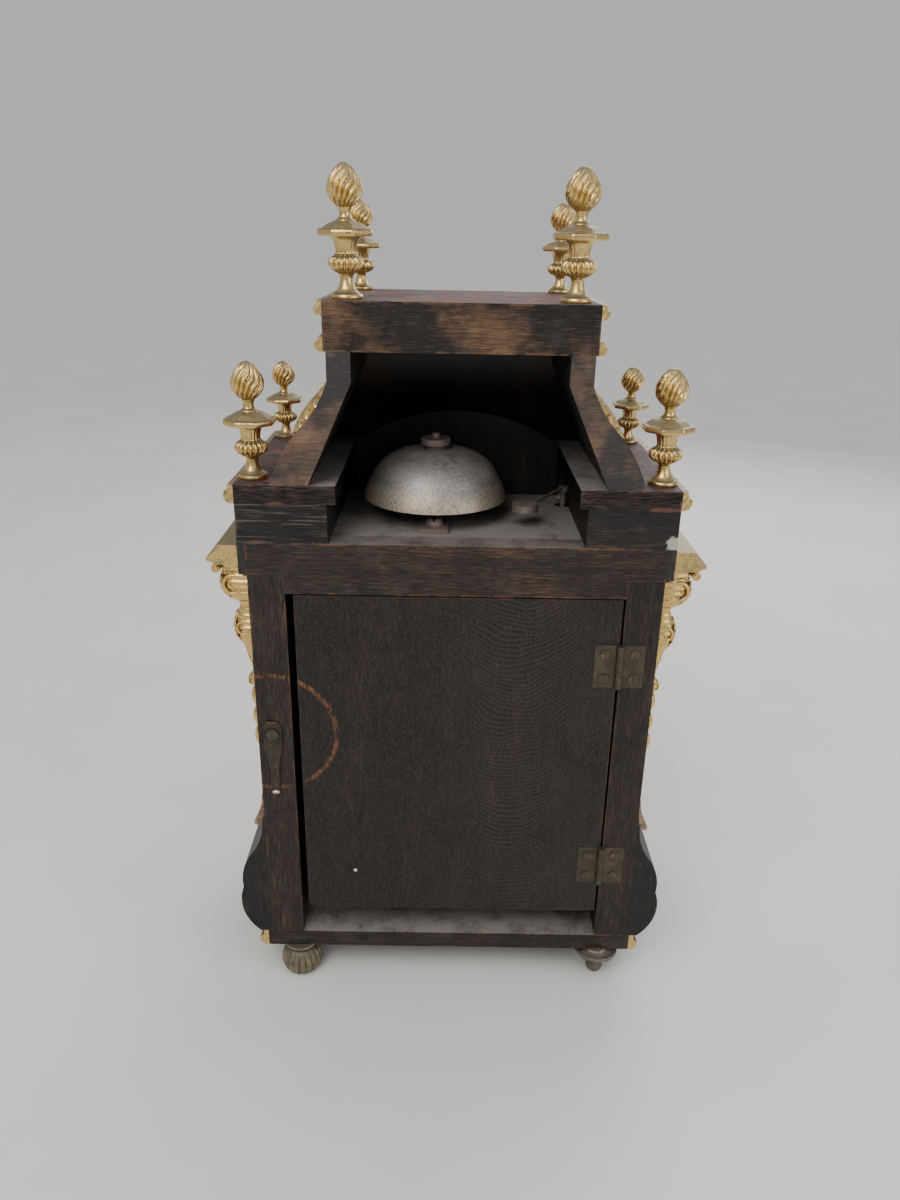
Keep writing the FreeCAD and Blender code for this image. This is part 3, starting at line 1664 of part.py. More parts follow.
def build_frame():
    """Plates, pillars, dial feet, hammer cock, escapement and pendulum."""
    low = dial_centre_height - plate_drop
    high = dial_centre_height + plate_rise
    shaft_bores = []
    for place in (third_place(), escape_place(), pin_wheel_place(), fly_place(), pallet_place()):
        shaft_bores.append(round_hole(place[0], place[1], pivot_radius + running_clearance))
    shaft_bores.append(round_hole(0, 0, centre_arbor_radius + running_clearance))
    for place in (going_place(), strike_place()):
        shaft_bores.append(round_hole(place[0], place[1], winding_arbor_radius + running_clearance))
    minute = minute_wheel_place()
    minute_bore = round_hole(minute[0], minute[1], pivot_radius + running_clearance)
    front = box((-plate_half_width, front_plate_front, low), (plate_half_width, front_plate_back, high))
    rear = box((-plate_half_width, back_plate_front, low), (plate_half_width, back_plate_back, high))
    save("front_plate", [front.cut(shaft_bores + [minute_bore])])
    save("back_plate", [rear.cut(shaft_bores)])

    pillars = []
    feet = []
    for side in (-1, 1):
        for inset, z in ((pillar_inset, low + pillar_inset), (upper_pillar_inset, high - pillar_inset)):
            x = side * (plate_half_width - inset)
            pillars.append(rod(pillar_radius, point(x, front_plate_back, z), point(x, back_plate_front, z)))
            feet.append(rod(pillar_radius, point(x, dial_back, z), point(x, front_plate_front, z)))
    save("plate_pillars", pillars + feet)

    half = hammer_cock_width / 2
    cock_top = hammer_foot_height
    hammer_cock = box(
        (hammer_x - half, front_plate_back, cock_top - hammer_cock_thickness),
        (hammer_x + half, hammer_y + half, cock_top),
    )

    pallet_x, pallet_z = pallet_place()
    axis_z = dial_centre_height + pallet_z
    layer = front_plate_back + escape_wheel_place
    anchor_points = [
        (-pallet_half_span, -pallet_drop + pallet_thickness, anchor_bulge_share),
        (-pallet_half_span - pallet_thickness / 2, -pallet_drop - pallet_thickness, 0.0),
        (-pallet_half_span + pallet_thickness / 2, -pallet_drop - pallet_thickness, 0.0),
        (-pallet_half_span + pallet_thickness, -pallet_drop + pallet_thickness / 2, 0.0),
        (0, -anchor_depth, -anchor_bulge_share),
        (pallet_half_span - pallet_thickness, -pallet_drop + pallet_thickness / 2, -anchor_bulge_share),
        (pallet_half_span - pallet_thickness / 2, -pallet_drop - pallet_thickness, 0.0),
        (pallet_half_span + pallet_thickness / 2, -pallet_drop - pallet_thickness, 0.0),
        (pallet_half_span, -pallet_drop + pallet_thickness, 0.0),
        (0, anchor_depth, anchor_bulge_share),
    ]
    anchor = prism(
        anchor_points,
        lambda u, v: point(pallet_x + u, layer, axis_z + v),
        point(0, wheel_thickness, 0),
    )
    crutch_back = back_plate_back + crutch_lift + crutch_thickness
    shaft = rod(
        pivot_radius,
        point(pallet_x, front_plate_front, axis_z),
        point(pallet_x, crutch_back, axis_z),
    )
    rod_y = back_plate_back + pendulum_lift
    crutch = box(
        (pallet_x - crutch_width / 2, back_plate_back + crutch_lift, axis_z - crutch_length),
        (pallet_x + crutch_width / 2, crutch_back, axis_z + crutch_width),
    )
    fork_top = axis_z - crutch_length + fork_height
    fork = box(
        (pallet_x - fork_width / 2, back_plate_back + crutch_lift, axis_z - crutch_length),
        (pallet_x + fork_width / 2, rod_y + pendulum_rod_radius * fork_reach_share, fork_top),
    )
    slot = pendulum_rod_radius + moving_clearance
    fork = fork.cut(
        box(
            (pallet_x - slot, rod_y - slot, axis_z - crutch_length - cut_overrun),
            (pallet_x + slot, rod_y + slot + fork_width, fork_top + cut_overrun),
        )
    )
    save("pallet_anchor", [anchor.fuse([shaft, crutch, fork])])

    eye_front = rod_y - pendulum_eye_thickness / 2
    eye_back = rod_y + pendulum_eye_thickness / 2
    cock_low = axis_z + cock_rise
    cock_reach = back_plate_back + cock_lift
    cock = box(
        (pallet_x - cock_arm_width / 2, back_plate_back, cock_low),
        (pallet_x + cock_arm_width / 2, cock_reach, cock_low + cock_thickness),
    )
    hanger = box(
        (pallet_x - cock_arm_width / 2, cock_reach - cock_thickness, axis_z - cock_thickness),
        (pallet_x + cock_arm_width / 2, cock_reach, cock_low + cock_thickness),
    )
    pin = rod(
        cock_pin_radius,
        point(pallet_x, eye_front - moving_clearance, axis_z),
        point(pallet_x, cock_reach, axis_z),
    )
    save("movement_cocks", [hammer_cock, joined(cock, [hanger, pin])])

    eye = rod(pendulum_eye_radius, point(pallet_x, eye_front, axis_z), point(pallet_x, eye_back, axis_z))
    eye_hole = rod(
        cock_pin_radius + running_clearance,
        point(pallet_x, eye_front - cut_overrun, axis_z),
        point(pallet_x, eye_back + cut_overrun, axis_z),
    )
    bob_z = base_top + bob_floor_gap + bob_radius
    rod_top = axis_z - (pendulum_eye_radius + cock_pin_radius) / 2
    stem = rod(
        pendulum_rod_radius,
        point(pallet_x, rod_y, bob_z - bob_radius),
        point(pallet_x, rod_y, rod_top),
    )
    save("pendulum_rod", [stem.fuse(eye).cut(eye_hole)])
    lens = [
        (0, -bob_thickness / 2, 0.0),
        (bob_radius, 0, -bob_bulge_share),
        (0, bob_thickness / 2, -bob_bulge_share),
    ]
    bob = turned(lens)
    bob.rotate(point(0, 0, 0), aside, 90)
    bob = bob.translated(point(pallet_x, rod_y, bob_z))
    save("pendulum_bob", [bob.cut(stem)])


def main():
    os.makedirs("parts", exist_ok=True)
    build_carcass()
    build_roof()
    build_gilt_work()
    build_back_door()
    build_bell()
    build_hammer()
    build_front_door()
    build_dial()
    build_train()
    build_frame()


if __name__ == "__main__":
    main()
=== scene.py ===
"""Looks of a religieuse clock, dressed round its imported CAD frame.

Lengths are in millimetres, as on a maker's drawing, unless a class says otherwise.
Meshes are made in metres.
"""

import logging
import math
from dataclasses import dataclass, field
from enum import Enum
from typing import Any, Callable, Sequence

import bmesh
import bpy
import numpy as np
from mathutils import Matrix, Vector


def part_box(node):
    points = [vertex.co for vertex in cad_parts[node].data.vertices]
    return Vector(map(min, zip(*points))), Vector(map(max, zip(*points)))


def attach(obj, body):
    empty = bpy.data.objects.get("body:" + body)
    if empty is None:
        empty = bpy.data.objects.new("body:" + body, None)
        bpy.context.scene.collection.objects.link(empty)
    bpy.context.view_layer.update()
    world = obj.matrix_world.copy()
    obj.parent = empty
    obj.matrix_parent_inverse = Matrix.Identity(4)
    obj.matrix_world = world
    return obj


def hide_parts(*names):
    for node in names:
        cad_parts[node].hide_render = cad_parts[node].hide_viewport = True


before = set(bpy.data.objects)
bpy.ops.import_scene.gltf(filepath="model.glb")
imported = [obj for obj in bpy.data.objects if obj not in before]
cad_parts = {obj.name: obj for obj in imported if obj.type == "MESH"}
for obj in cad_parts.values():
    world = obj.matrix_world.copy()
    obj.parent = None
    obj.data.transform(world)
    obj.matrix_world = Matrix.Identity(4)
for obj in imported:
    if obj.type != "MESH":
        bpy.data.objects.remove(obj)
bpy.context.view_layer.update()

log = logging.getLogger("religieuse")
MM = 0.001
Colour = tuple[float, float, float]
Place = tuple[float, float, float]
Points = Sequence[tuple[float, float]]
Carving = Callable[[float, np.ndarray], np.ndarray]
Sections = Sequence[tuple[np.ndarray, Carving | None]]


class Grain(Enum):
    """Way that the grain of a board runs, as a stretch of its pattern."""

    ACROSS = (0.07, 1.0, 1.0)
    UPRIGHT = (1.0, 1.0, 0.07)


class Side(Enum):
    """Side of the case, as a sign along X."""

    HINGE = -1.0
    LATCH = 1.0


class Wire:
    """A socket of a finish's nodes, which can be reckoned with like a number."""

    def __init__(self, sheet: "Sheet", socket: bpy.types.NodeSocket) -> None:
        """Keep the socket and the sheet it is on."""
        self.sheet = sheet
        self.socket = socket

    def reckon(self, operation: str, *values: Any, out: Any = 0) -> "Wire":
        """Add a node that works on this wire and on other values.

        Args:
            operation: name of the operation.
            *values: wires, numbers or vectors that follow this one.
            out: name or number of the output to hand back.

        Returns:
            The wire that carries the result.
        """
        kind = "ShaderNodeVectorMath" if self.socket.type == "VECTOR" else "ShaderNodeMath"
        return self.sheet.add(kind, {"operation": operation}, dict(enumerate((self, *values))), out)

    def __add__(self, other: Any) -> "Wire":
        """Sum."""
        return self.reckon("ADD", other)

    __radd__ = __add__

    def __sub__(self, other: Any) -> "Wire":
        """Difference."""
        return self.reckon("SUBTRACT", other)

    def __rsub__(self, other: Any) -> "Wire":
        """Difference from a number."""
        return self * -1.0 + other

    def __mul__(self, other: Any) -> "Wire":
        """Product."""
        return self.reckon("MULTIPLY", other)

    __rmul__ = __mul__

    def __abs__(self) -> "Wire":
        """Size without its sign."""
        return self.reckon("ABSOLUTE")

    def least(self, other: Any) -> "Wire":
        """Smaller of two."""
        return self.reckon("MINIMUM", other)

    def most(self, other: Any) -> "Wire":
        """Larger of two."""
        return self.reckon("MAXIMUM", other)

    def step(self, low: float, high: float) -> "Wire":
        """A soft step that is 0 at low and 1 at high, which may be the smaller of the two."""
        ends = {1: low, 2: high, 3: 0.0, 4: 1.0} if low < high else {1: high, 2: low, 3: 1.0, 4: 0.0}
        return self.sheet.add("ShaderNodeMapRange", {"interpolation_type": "SMOOTHSTEP"}, {0: self, **ends})

    def axis(self, name: str) -> "Wire":
        """One part, X, Y or Z, of a vector."""
        return self.sheet.add("ShaderNodeSeparateXYZ", {}, {0: self}, name)

    def ramp(self, stops: Sequence[tuple[float, Colour]]) -> "Wire":
        """Colours along this value, at places from 0 to 1."""
        return self.sheet.add("ShaderNodeValToRGB", {"stops": stops}, {0: self})


class Sheet:
    """The nodes of one finish, round one surface shader."""

    def __init__(self, name: str) -> None:
        """Start a finish with an empty node sheet.

        Args:
            name: name of the material.
        """
        self.material = bpy.data.materials.new(name)
        self.material.use_nodes = True
        self.tree = self.material.node_tree
        self.tree.nodes.clear()
        self.shader = self.tree.nodes.new("ShaderNodeBsdfPrincipled")
        output = self.tree.nodes.new("ShaderNodeOutputMaterial")
        self.tree.links.new(self.shader.outputs[0], output.inputs[0])

    def put(self, socket: bpy.types.NodeSocket, value: Any) -> None:
        """Link a wire to a socket, or set the socket to a value.

        Args:
            socket: socket of a node.
            value: wire, number, vector or colour.
        """
        if isinstance(value, Wire):
            self.tree.links.new(value.socket, socket)
        elif socket.type == "RGBA":
            socket.default_value = (*value[:3], 1.0)
        else:
            socket.default_value = value

    def add(self, kind: str, settings: dict[str, Any], sockets: dict[Any, Any], out: Any = 0) -> Wire:
        """Add a node.

        Args:
            kind: type of the node.
            settings: what is set on the node first; stops gives a ramp's colours.
            sockets: values or wires by socket name or number.
            out: name or number of the output to hand back.

        Returns:
            The wire of that output.
        """
        node = self.tree.nodes.new(kind)
        for key, value in settings.items():
            if key == "stops":
                ramp = node.color_ramp.elements
                while len(ramp) < len(value):
                    ramp.new(0.5)
                for element, (at, colour) in zip(ramp, value):
                    element.position = at
                    element.color = (*colour, 1.0)
            else:
                setattr(node, key, value)
        for key, value in sockets.items():
            self.put(node.inputs[key], value)
        return Wire(self, node.outputs[out])

    def mix(self, under: Any, over: Any, share: Any) -> Wire:
        """Mix two colours.

        Args:
            under: colour or wire that lies below.
            over: colour or wire that lies above.
            share: how much of the upper one shows, from 0 to 1.

        Returns:
            The wire of the mixed colour.
        """
        return self.add("ShaderNodeMix", {"data_type": "RGBA"}, {0: share, 6: under, 7: over}, 2)

    def place(self) -> Wire:
        """Place on the clock at rest, in millimetres."""
        spot = self.add("ShaderNodeTexCoord", {}, {}, "Object")
        return self.add("ShaderNodeVectorMath", {"operation": "SCALE"}, {0: spot, "Scale": 1 / MM})

    def facing(self, axis: str) -> Wire:
        """How far the surface faces along an axis of the clock."""
        return self.add("ShaderNodeTexCoord", {}, {}, "Normal").axis(axis)

    def noise(self, spot: Wire, size: float, detail: float = 4.0, rough: float = 0.55,
              bend: float = 0.0) -> Wire:
        """Cloudy pattern with marks of about one size.

        Args:
            spot: place in millimetres.
            size: size of the marks in millimetres.
            detail: number of finer layers.
            rough: strength of the finer layers.
            bend: how far the pattern is bent.

        Returns:
            The wire of the pattern, about 0 to 1.
        """
        sockets = {"Vector": spot, "Scale": 1 / size, "Detail": detail, "Roughness": rough,
                   "Distortion": bend}
        return self.add("ShaderNodeTexNoise", {}, sockets)

    def dress(self, colour: Any, rough: Any, metal: Any = 0.0, height: Any = None, depth: float = 0.2,
              **plain: Any) -> bpy.types.Material:
        """Join the looks to the shader.

        Args:
            colour: colour or its wire.
            rough: roughness or its wire.
            metal: metalness or its wire.
            height: wire of the relief, or None.
            depth: depth of the relief in millimetres.
            **plain: other shader sockets, with _ for a space.

        Returns:
            The finished material.
        """
        looks = {"Base Color": colour, "Roughness": rough, "Metallic": metal}
        looks.update({key.replace("_", " "): value for key, value in plain.items()})
        if height is not None:
            sockets = {"Height": height, "Strength": 1.0, "Distance": depth * MM}
            looks["Normal"] = self.add("ShaderNodeBump", {}, sockets)
        for key, value in looks.items():
            self.put(self.shader.inputs[key], value)
        return self.material


def edge_gap(spot: Wire, low: Place, high: Place) -> Wire:
    """Distance from the nearest edge of a box, for a point on its surface.

    Args:
        spot: place in millimetres.
        low: lowest corner of the box.
        high: highest corner.

    Returns:
        The wire of the distance in millimetres.
    """
    gaps = []
    for index, name in enumerate("XYZ"):
        along = spot.axis(name)
        gaps.append((along - low[index]).least(high[index] - along))
    first, second, third = gaps
    return first.least(second).most(first.most(second).least(third))


def box_mm(node: str) -> tuple[Place, Place]:
    """Lowest and highest corner of a CAD node, in millimetres."""
    low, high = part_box(node)
    return tuple(low / MM), tuple(high / MM)


def drawn_mm(node: str) -> np.ndarray:
    """Lowest and highest corner of a CAD node, to a tenth of a millimetre."""
    return np.round(box_mm(node), 1)


def mirrored(place: Place) -> tuple[Place, Place]:
    """A place on the latch side and its match on the hinge side."""
    return place, (-place[0], place[1], place[2])


# Place along Y of the case's rear face, from which depths are measured
REAR = box_mm("hinge_stile")[1][1]
# Distance of the case's sides from the middle
WALL = box_mm("latch_stile")[1][0]
# Heights of the ledges and of the crown, on which the finials stand
LEDGE = box_mm("ledge_boards")[1][2]
CROWN = box_mm("crown")[1][2]
# Place along X and Z of the screw on which the latch turns
LATCH_PIVOT = (120.2, 206.3)


@dataclass(frozen=True)
class WoodFinish:
    """Old stained or ebonised wood.

    Attributes:
        name: name of the material.
        dark: colour of the ground.
        brown: colour where the stain is thin.
        grain: way the grain runs.
        thin: how much of the brown shows, from 0 to 1.
        worn: colour of worn edges.
        edge: width of the worn edges in millimetres, 0 for none.
        dust: how thickly dust lies on what faces up.
        gloss: roughness of the clean surface.
        furrow: depth of the grain in millimetres.
        mottle: how far blotches hide the grain, from 0 to 1.
        chip: place of a pale chip, or None.
        pore: colour of the open pores.
        bare: colour of the chip.
        grey: colour of the dust.
        shine: how far the surface mirrors.
    """

    name: str
    dark: Colour = (0.010, 0.0075, 0.0065)
    brown: Colour = (0.060, 0.031, 0.019)
    grain: Grain = Grain.UPRIGHT
    thin: float = 0.5
    worn: Colour = (0.16, 0.068, 0.032)
    edge: float = 1.2
    dust: float = 0.5
    gloss: float = 0.5
    furrow: float = 0.25
    mottle: float = 0.0
    chip: Place | None = None
    pore: Colour = (0.0035, 0.003, 0.0028)
    bare: Colour = (0.42, 0.40, 0.37)
    grey: Colour = (0.185, 0.168, 0.155)
    shine: float = 0.3

    def ground(self, sheet: Sheet, spot: Wire) -> tuple[Wire, Wire]:
        """Colour and relief of the bare wood.

        Args:
            sheet: sheet that takes the nodes.
            spot: place in millimetres.

        Returns:
            The wires of the colour and of the relief.
        """
        along = spot * self.grain.value
        broad = sheet.noise(along, 8.0, 5.0, 0.6, 0.3)
        fine = sheet.noise(along, 1.2, 3.0, 0.6)
        pores = sheet.noise(along, 0.5, 2.0, 0.5)
        patch = sheet.noise(spot, 38.0, 5.0, 0.6)
        streaks = broad * 0.45 + fine * 0.45 + patch * 0.3
        blotches = patch.step(0.30, 0.70) * 0.62 + fine * 0.36
        tone = streaks * (1 - self.mottle) + blotches * self.mottle
        low = 0.74 - 0.3 * self.thin
        colour = tone.ramp([(low - 0.14, self.dark), (low + 0.06, self.brown), (low + 0.3, self.worn)])
        colour = sheet.mix(colour, self.pore, pores.step(0.50, 0.38) * (0.8 - 0.5 * self.mottle))
        pale = tuple(part * 2.4 + 0.012 for part in self.brown)
        colour = sheet.mix(colour, pale, pores.step(0.61, 0.72) * (0.5 - 0.3 * self.mottle))
        return colour, fine * 0.5 + pores * 0.5

    def aged(self, sheet: Sheet, spot: Wire, colour: Wire, low: Place, high: Place) -> tuple[Wire, Wire]:
        """Wear on the edges and dust on what faces up.

        Args:
            sheet: sheet that takes the nodes.
            spot: place in millimetres.
            colour: colour of the bare wood.
            low: lowest corner of the board.
            high: highest corner.

        Returns:
            The wires of the colour and of the roughness.
        """
        if self.edge:
            ragged = sheet.noise(spot, 5.0, 5.0, 0.7) * 2.4
            spared = sheet.noise(spot, 21.0, 4.0, 0.65).step(0.60, 0.42)
            rim = (edge_gap(spot, low, high) * (1 / self.edge) - ragged + spared * 1.4).step(0.2, -0.9)
            colour = sheet.mix(colour, self.worn, rim * 0.45)
        if self.chip is not None:
            ragged = sheet.noise(spot, 4.0, 5.0, 0.7) * 9.0
            away = (spot - self.chip).reckon("LENGTH", out="Value") + ragged
            colour = sheet.mix(colour, self.bare, away.step(10.5, 8.5) * 0.8)
        cloud = sheet.noise(spot, 17.0, 5.0, 0.65)
        speck = sheet.noise(spot, 1.1, 2.0)
        drifts = (cloud * 0.8 + speck * 0.4).step(0.25, 0.75)
        lying = sheet.facing("Z").step(0.5, 0.95) * drifts * self.dust
        haze = cloud.step(0.45, 0.8) * (0.10 * self.dust)
        colour = sheet.mix(colour, self.grey, lying.most(haze))
        return colour, lying * 0.4 + cloud * 0.14 + (self.gloss - 0.05)

    def make(self, low: Place, high: Place) -> bpy.types.Material:
        """Material for a board that fills a box.

        Args:
            low: lowest corner of the board in millimetres.
            high: highest corner.

        Returns:
            The material.
        """
        sheet = Sheet(self.name)
        spot = sheet.place()
        colour, relief = self.ground(sheet, spot)
        colour, rough = self.aged(sheet, spot, colour, low, high)
        colour, rough, relief = self.covered(sheet, spot, colour, rough, relief)
        return sheet.dress(colour, rough, height=relief, depth=self.furrow, Specular_IOR_Level=self.shine)

    def covered(self, sheet: Sheet, spot: Wire, *looks: Wire) -> tuple[Wire, ...]:
        """Colour, roughness and relief with whatever covers the wood, here nothing."""
        return looks


@dataclass(frozen=True)
class RubbedWood(WoodFinish):
    """Wood of the rear frame and door, with the ring that the latch has rubbed.

    Attributes:
        ring: radius of the rubbed ring.
        rubbed: colour of the ring.
        figure: strength of the fine curved figure of the board.
        lines: colour of the figure.
        flecks: strength of the pale flecks.
        fleck: colour of the flecks.
        dot: place along X and Z of a pale spot, or None.
        white: colour of the spot.
    """

    ring: float = 42.5
    rubbed: Colour = (0.17, 0.072, 0.03)
    figure: float = 0.0
    lines: Colour = (0.034, 0.027, 0.024)
    flecks: float = 0.0
    fleck: Colour = (0.052, 0.041, 0.036)
    dot: tuple[float, float] | None = None
    white: Colour = (0.62, 0.6, 0.55)

    def ground(self, sheet: Sheet, spot: Wire) -> tuple[Wire, Wire]:
        """Colour and relief with flecks, figure, ring and spot.

        Args:
            sheet: sheet that takes the nodes.
            spot: place in millimetres.

        Returns:
            The wires of the colour and of the relief.
        """
        colour, relief = super().ground(sheet, spot)
        x, z = spot.axis("X"), spot.axis("Z")
        if self.flecks:
            fleck = sheet.noise(spot * (1.0, 1.0, 0.3), 0.75, 2.0).step(0.53, 0.66)
            colour = sheet.mix(colour, self.fleck, fleck * self.flecks)
        if self.figure:
            sway = sheet.noise(spot, 60.0, 2.0) * 26.0
            bow = (x + 40.0) * (x + 40.0) * 0.012
            waves = ((z - bow + sway) * 1.9).reckon("SINE")
            where = sheet.noise(spot, 75.0, 2.0).step(0.32, 0.56) * x.step(38.0, -22.0)
            colour = sheet.mix(colour, self.lines, waves.step(-0.2, 1.0) * where * self.figure)
        away = self.square_gap(x, z, LATCH_PIVOT).reckon("SQRT")
        ragged = sheet.noise(spot * (1.0, 1.0, 0.35), 1.8, 3.0).step(0.34, 0.64)
        faded = sheet.noise(spot, 26.0, 3.0).step(0.25, 0.5)
        rub = abs(away - self.ring).step(2.6, 0.2) * ragged * sheet.facing("Y").step(0.5, 0.9)
        colour = sheet.mix(colour, self.rubbed, rub * faded * 0.85)
        if self.dot is not None:
            colour = sheet.mix(colour, self.white, self.square_gap(x, z, self.dot).step(2.2, 0.7))
        return colour, relief

    @staticmethod
    def square_gap(x: Wire, z: Wire, middle: tuple[float, float]) -> Wire:
        """Square of the distance from a place on the back.

        Args:
            x: place along X.
            z: place along Z.
            middle: the place, along X and Z.

        Returns:
            The wire of the square.
        """
        aside = x - middle[0]
        above = z - middle[1]
        return aside * aside + above * above


@dataclass(frozen=True)
class ScoredWood(WoodFinish):
    """Wood whose piece on the latch side is blacker and scored along the grain.

    Attributes:
        black: colour of that piece.
        score: colour of the scored lines.
    """

    black: Colour = (0.0042, 0.0040, 0.0042)
    score: Colour = (0.125, 0.098, 0.082)

    def ground(self, sheet: Sheet, spot: Wire) -> tuple[Wire, Wire]:
        """Colour and relief with the black piece and its lines.

        Args:
            sheet: sheet that takes the nodes.
            spot: place in millimetres.

        Returns:
            The wires of the colour and of the relief.
        """
        colour, relief = super().ground(sheet, spot)
        where = spot.axis("X").step(-5.0, 5.0)
        colour = sheet.mix(colour, self.black, where * 0.75)
        lines = sheet.noise(spot * (0.035, 1.0, 1.0), 1.1, 3.0, 0.6).step(0.54, 0.63) * where
        return sheet.mix(colour, self.score, lines * 0.55), relief - lines * 0.6


@dataclass(frozen=True)
class VeneeredWood(WoodFinish):
    """Wood with a red shell veneer on the faces that look outward, and painted shade on faces that look
    inward, down or into the case.

    Attributes:
        upward: whether the faces that look up are veneered too.
        beyond: distance from the middle from which they are veneered, 0 for all.
        film: how thickly dust lies on the veneer.
        polish: roughness of the veneer.
        shine: how far the surface mirrors.
        frontal: whether only the faces that look to the front are veneered, and the painted shade left out.
        shell: black, red and amber of the shell.
        bloom: colour of the dust on it.
    """

    upward: bool = False
    beyond: float = 0.0
    film: float = 0.45
    polish: float = 0.24
    shine: float = 0.5
    frontal: bool = False
    shell: tuple[Colour, ...] = ((0.008, 0.004, 0.004), (0.11, 0.012, 0.008), (0.27, 0.055, 0.018))
    bloom: Colour = (0.125, 0.108, 0.106)

    def covered(self, sheet: Sheet, spot: Wire, *looks: Wire) -> tuple[Wire, ...]:
        """Colour, roughness and relief with the veneer, and painted shade on faces that look inward, down or
        into the case.

        Args:
            sheet: sheet that takes the nodes.
            spot: place in millimetres.
            *looks: colour, roughness and relief of the wood.

        Returns:
            The wires of the three.
        """
        colour, rough, relief = looks
        blot = sheet.noise(spot, 19.0, 4.0, 0.5, 1.4)
        cloud = sheet.noise(spot, 5.0, 3.0)
        veneer = (blot * 0.8 + cloud * 0.2).ramp(list(zip((0.43, 0.53, 0.66), self.shell)))
        out = sheet.facing("Y").step(-0.35, -0.6)
        if not self.frontal:
            outward = sheet.facing("X") * spot.axis("X").reckon("SIGN")
            out = out.most(outward.step(0.12, 0.3))
            # Painted shade: faces that look inward or down, and faces inside the case that look to the rear,
            # are darkened to near black.
            inside = outward.step(-0.1, -0.3).most(sheet.facing("Z").step(-0.3, -0.6))
            behind = sheet.facing("Y").step(0.2, 0.5) * spot.axis("Y").step(REAR - 2.0, REAR - 6.0)
            painted_shade_colour = tuple(part * 0.2 for part in self.dark)
            colour = sheet.mix(colour, painted_shade_colour, inside.most(behind) * 0.85)
        if self.upward:
            above = sheet.facing("Z").step(0.6, 0.9)
            if self.beyond:
                above = above * abs(spot.axis("X")).step(self.beyond - 1.0, self.beyond + 1.0)
            out = out.most(above)
        lost = sheet.noise(spot, 12.0, 4.0, 0.7).step(0.24, 0.34)
        drifts = sheet.noise(spot, 14.0, 5.0, 0.7).step(0.25, 0.65)
        dusty = sheet.facing("Z").step(0.3, 0.95) * drifts * self.film
        veneer = sheet.mix(veneer, self.bloom, dusty)
        out = out * lost
        rough = rough * (1 - out) + (self.polish + dusty * 0.4) * out
        return sheet.mix(colour, veneer, out), rough, relief * (1 - out)


@dataclass(frozen=True)
class GiltFinish:
    """Cast brass with old gilding.

    Attributes:
        name: name of the material.
        bright: colour of sound gilding.
        dull: colour where it has gone dull.
        wear: how much of it is dull.
        chased: pitch in millimetres of a leaf pattern chased along X and Y, 0 for none.
        polish: roughness of sound gilding.
        grime: colour of the dirt.
        hollow_dirt_and_shade: colour of the hollows of the leaf pattern, which is dirt and painted shade.
    """

    name: str
    bright: Colour = (0.63, 0.45, 0.18)
    dull: Colour = (0.205, 0.163, 0.088)
    wear: float = 0.5
    chased: float = 0.0
    polish: float = 0.24
    grime: Colour = (0.07, 0.045, 0.02)
    hollow_dirt_and_shade: Colour = (0.06, 0.04, 0.018)

    def make(self) -> bpy.types.Material:
        """Make the material of the gilding.

        Returns:
            The material.
        """
        sheet = Sheet(self.name)
        spot = sheet.place()
        cloud = sheet.noise(spot, 8.0, 5.0, 0.65)
        grime = sheet.noise(spot, 2.2, 4.0, 0.6)
        pits = sheet.noise(spot, 0.7, 2.0)
        settled = sheet.facing("Z").step(0.25, 0.85)
        age = cloud * 0.7 + grime * 0.3 + settled * 0.28 + (self.wear - 0.5) * 0.5
        darker_tone = age.step(0.46, 0.72)
        colour = sheet.mix(self.bright, self.dull, darker_tone)
        colour = sheet.mix(colour, self.grime, grime.step(0.42, 0.30) * 0.7)
        rough = darker_tone * 0.22 + grime * 0.14 + (self.polish - 0.05)
        relief = pits * 0.25 + grime * 0.35
        if self.chased:
            turn = math.tau / self.chased
            run = (spot.axis("X") + spot.axis("Y")) * turn
            slant = spot.axis("Z") * (turn * 0.8)
            lobe = abs((run * 0.5).reckon("SINE")) + abs((run + slant).reckon("SINE")) * 0.4
            relief = relief + lobe * 2.2
            # Dirt and painted shade darken the hollows of the chased leaves.
            colour = sheet.mix(colour, self.hollow_dirt_and_shade, lobe.step(0.45, 0.05) * 0.8)
        return sheet.dress(colour, rough, 0.96 - darker_tone * 0.25, relief, 0.28)


@dataclass(frozen=True)
class MetalFinish:
    """Plain metal with age on it.

    Attributes:
        name: name of the material.
        clean: colour of bright metal.
        aged: colour of the patina.
        age: how much patina there is.
        polish: roughness of bright metal.
        metal: metalness of bright metal.
        spun: whether file marks run along the Y axis, as on turned wheels, and not upright.
    """

    name: str
    clean: Colour
    aged: Colour
    age: float = 0.5
    polish: float = 0.32
    metal: float = 0.95
    spun: bool = False

    def make(self) -> bpy.types.Material:
        """Make the material of the metal.

        Returns:
            The material.
        """
        sheet = Sheet(self.name)
        spot = sheet.place()
        cloud = sheet.noise(spot, 10.0, 5.0, 0.65)
        speck = sheet.noise(spot, 1.4, 3.0, 0.6)
        marks = sheet.noise(spot * ((1.0, 0.05, 1.0) if self.spun else (1.0, 1.0, 0.06)), 0.5, 2.0)
        old = (cloud * 0.65 + speck * 0.35 + (self.age - 0.5) * 0.6).step(0.36, 0.64)
        colour = sheet.mix(self.clean, self.aged, old)
        pit = tuple(part * 0.35 for part in self.aged)
        colour = sheet.mix(colour, pit, speck.step(0.40, 0.28) * 0.6)
        rough = old * 0.25 + marks * 0.14 + (self.polish - 0.07)
        return sheet.dress(colour, rough, self.metal - old * 0.35, marks * 0.4 + speck * 0.6, 0.06)


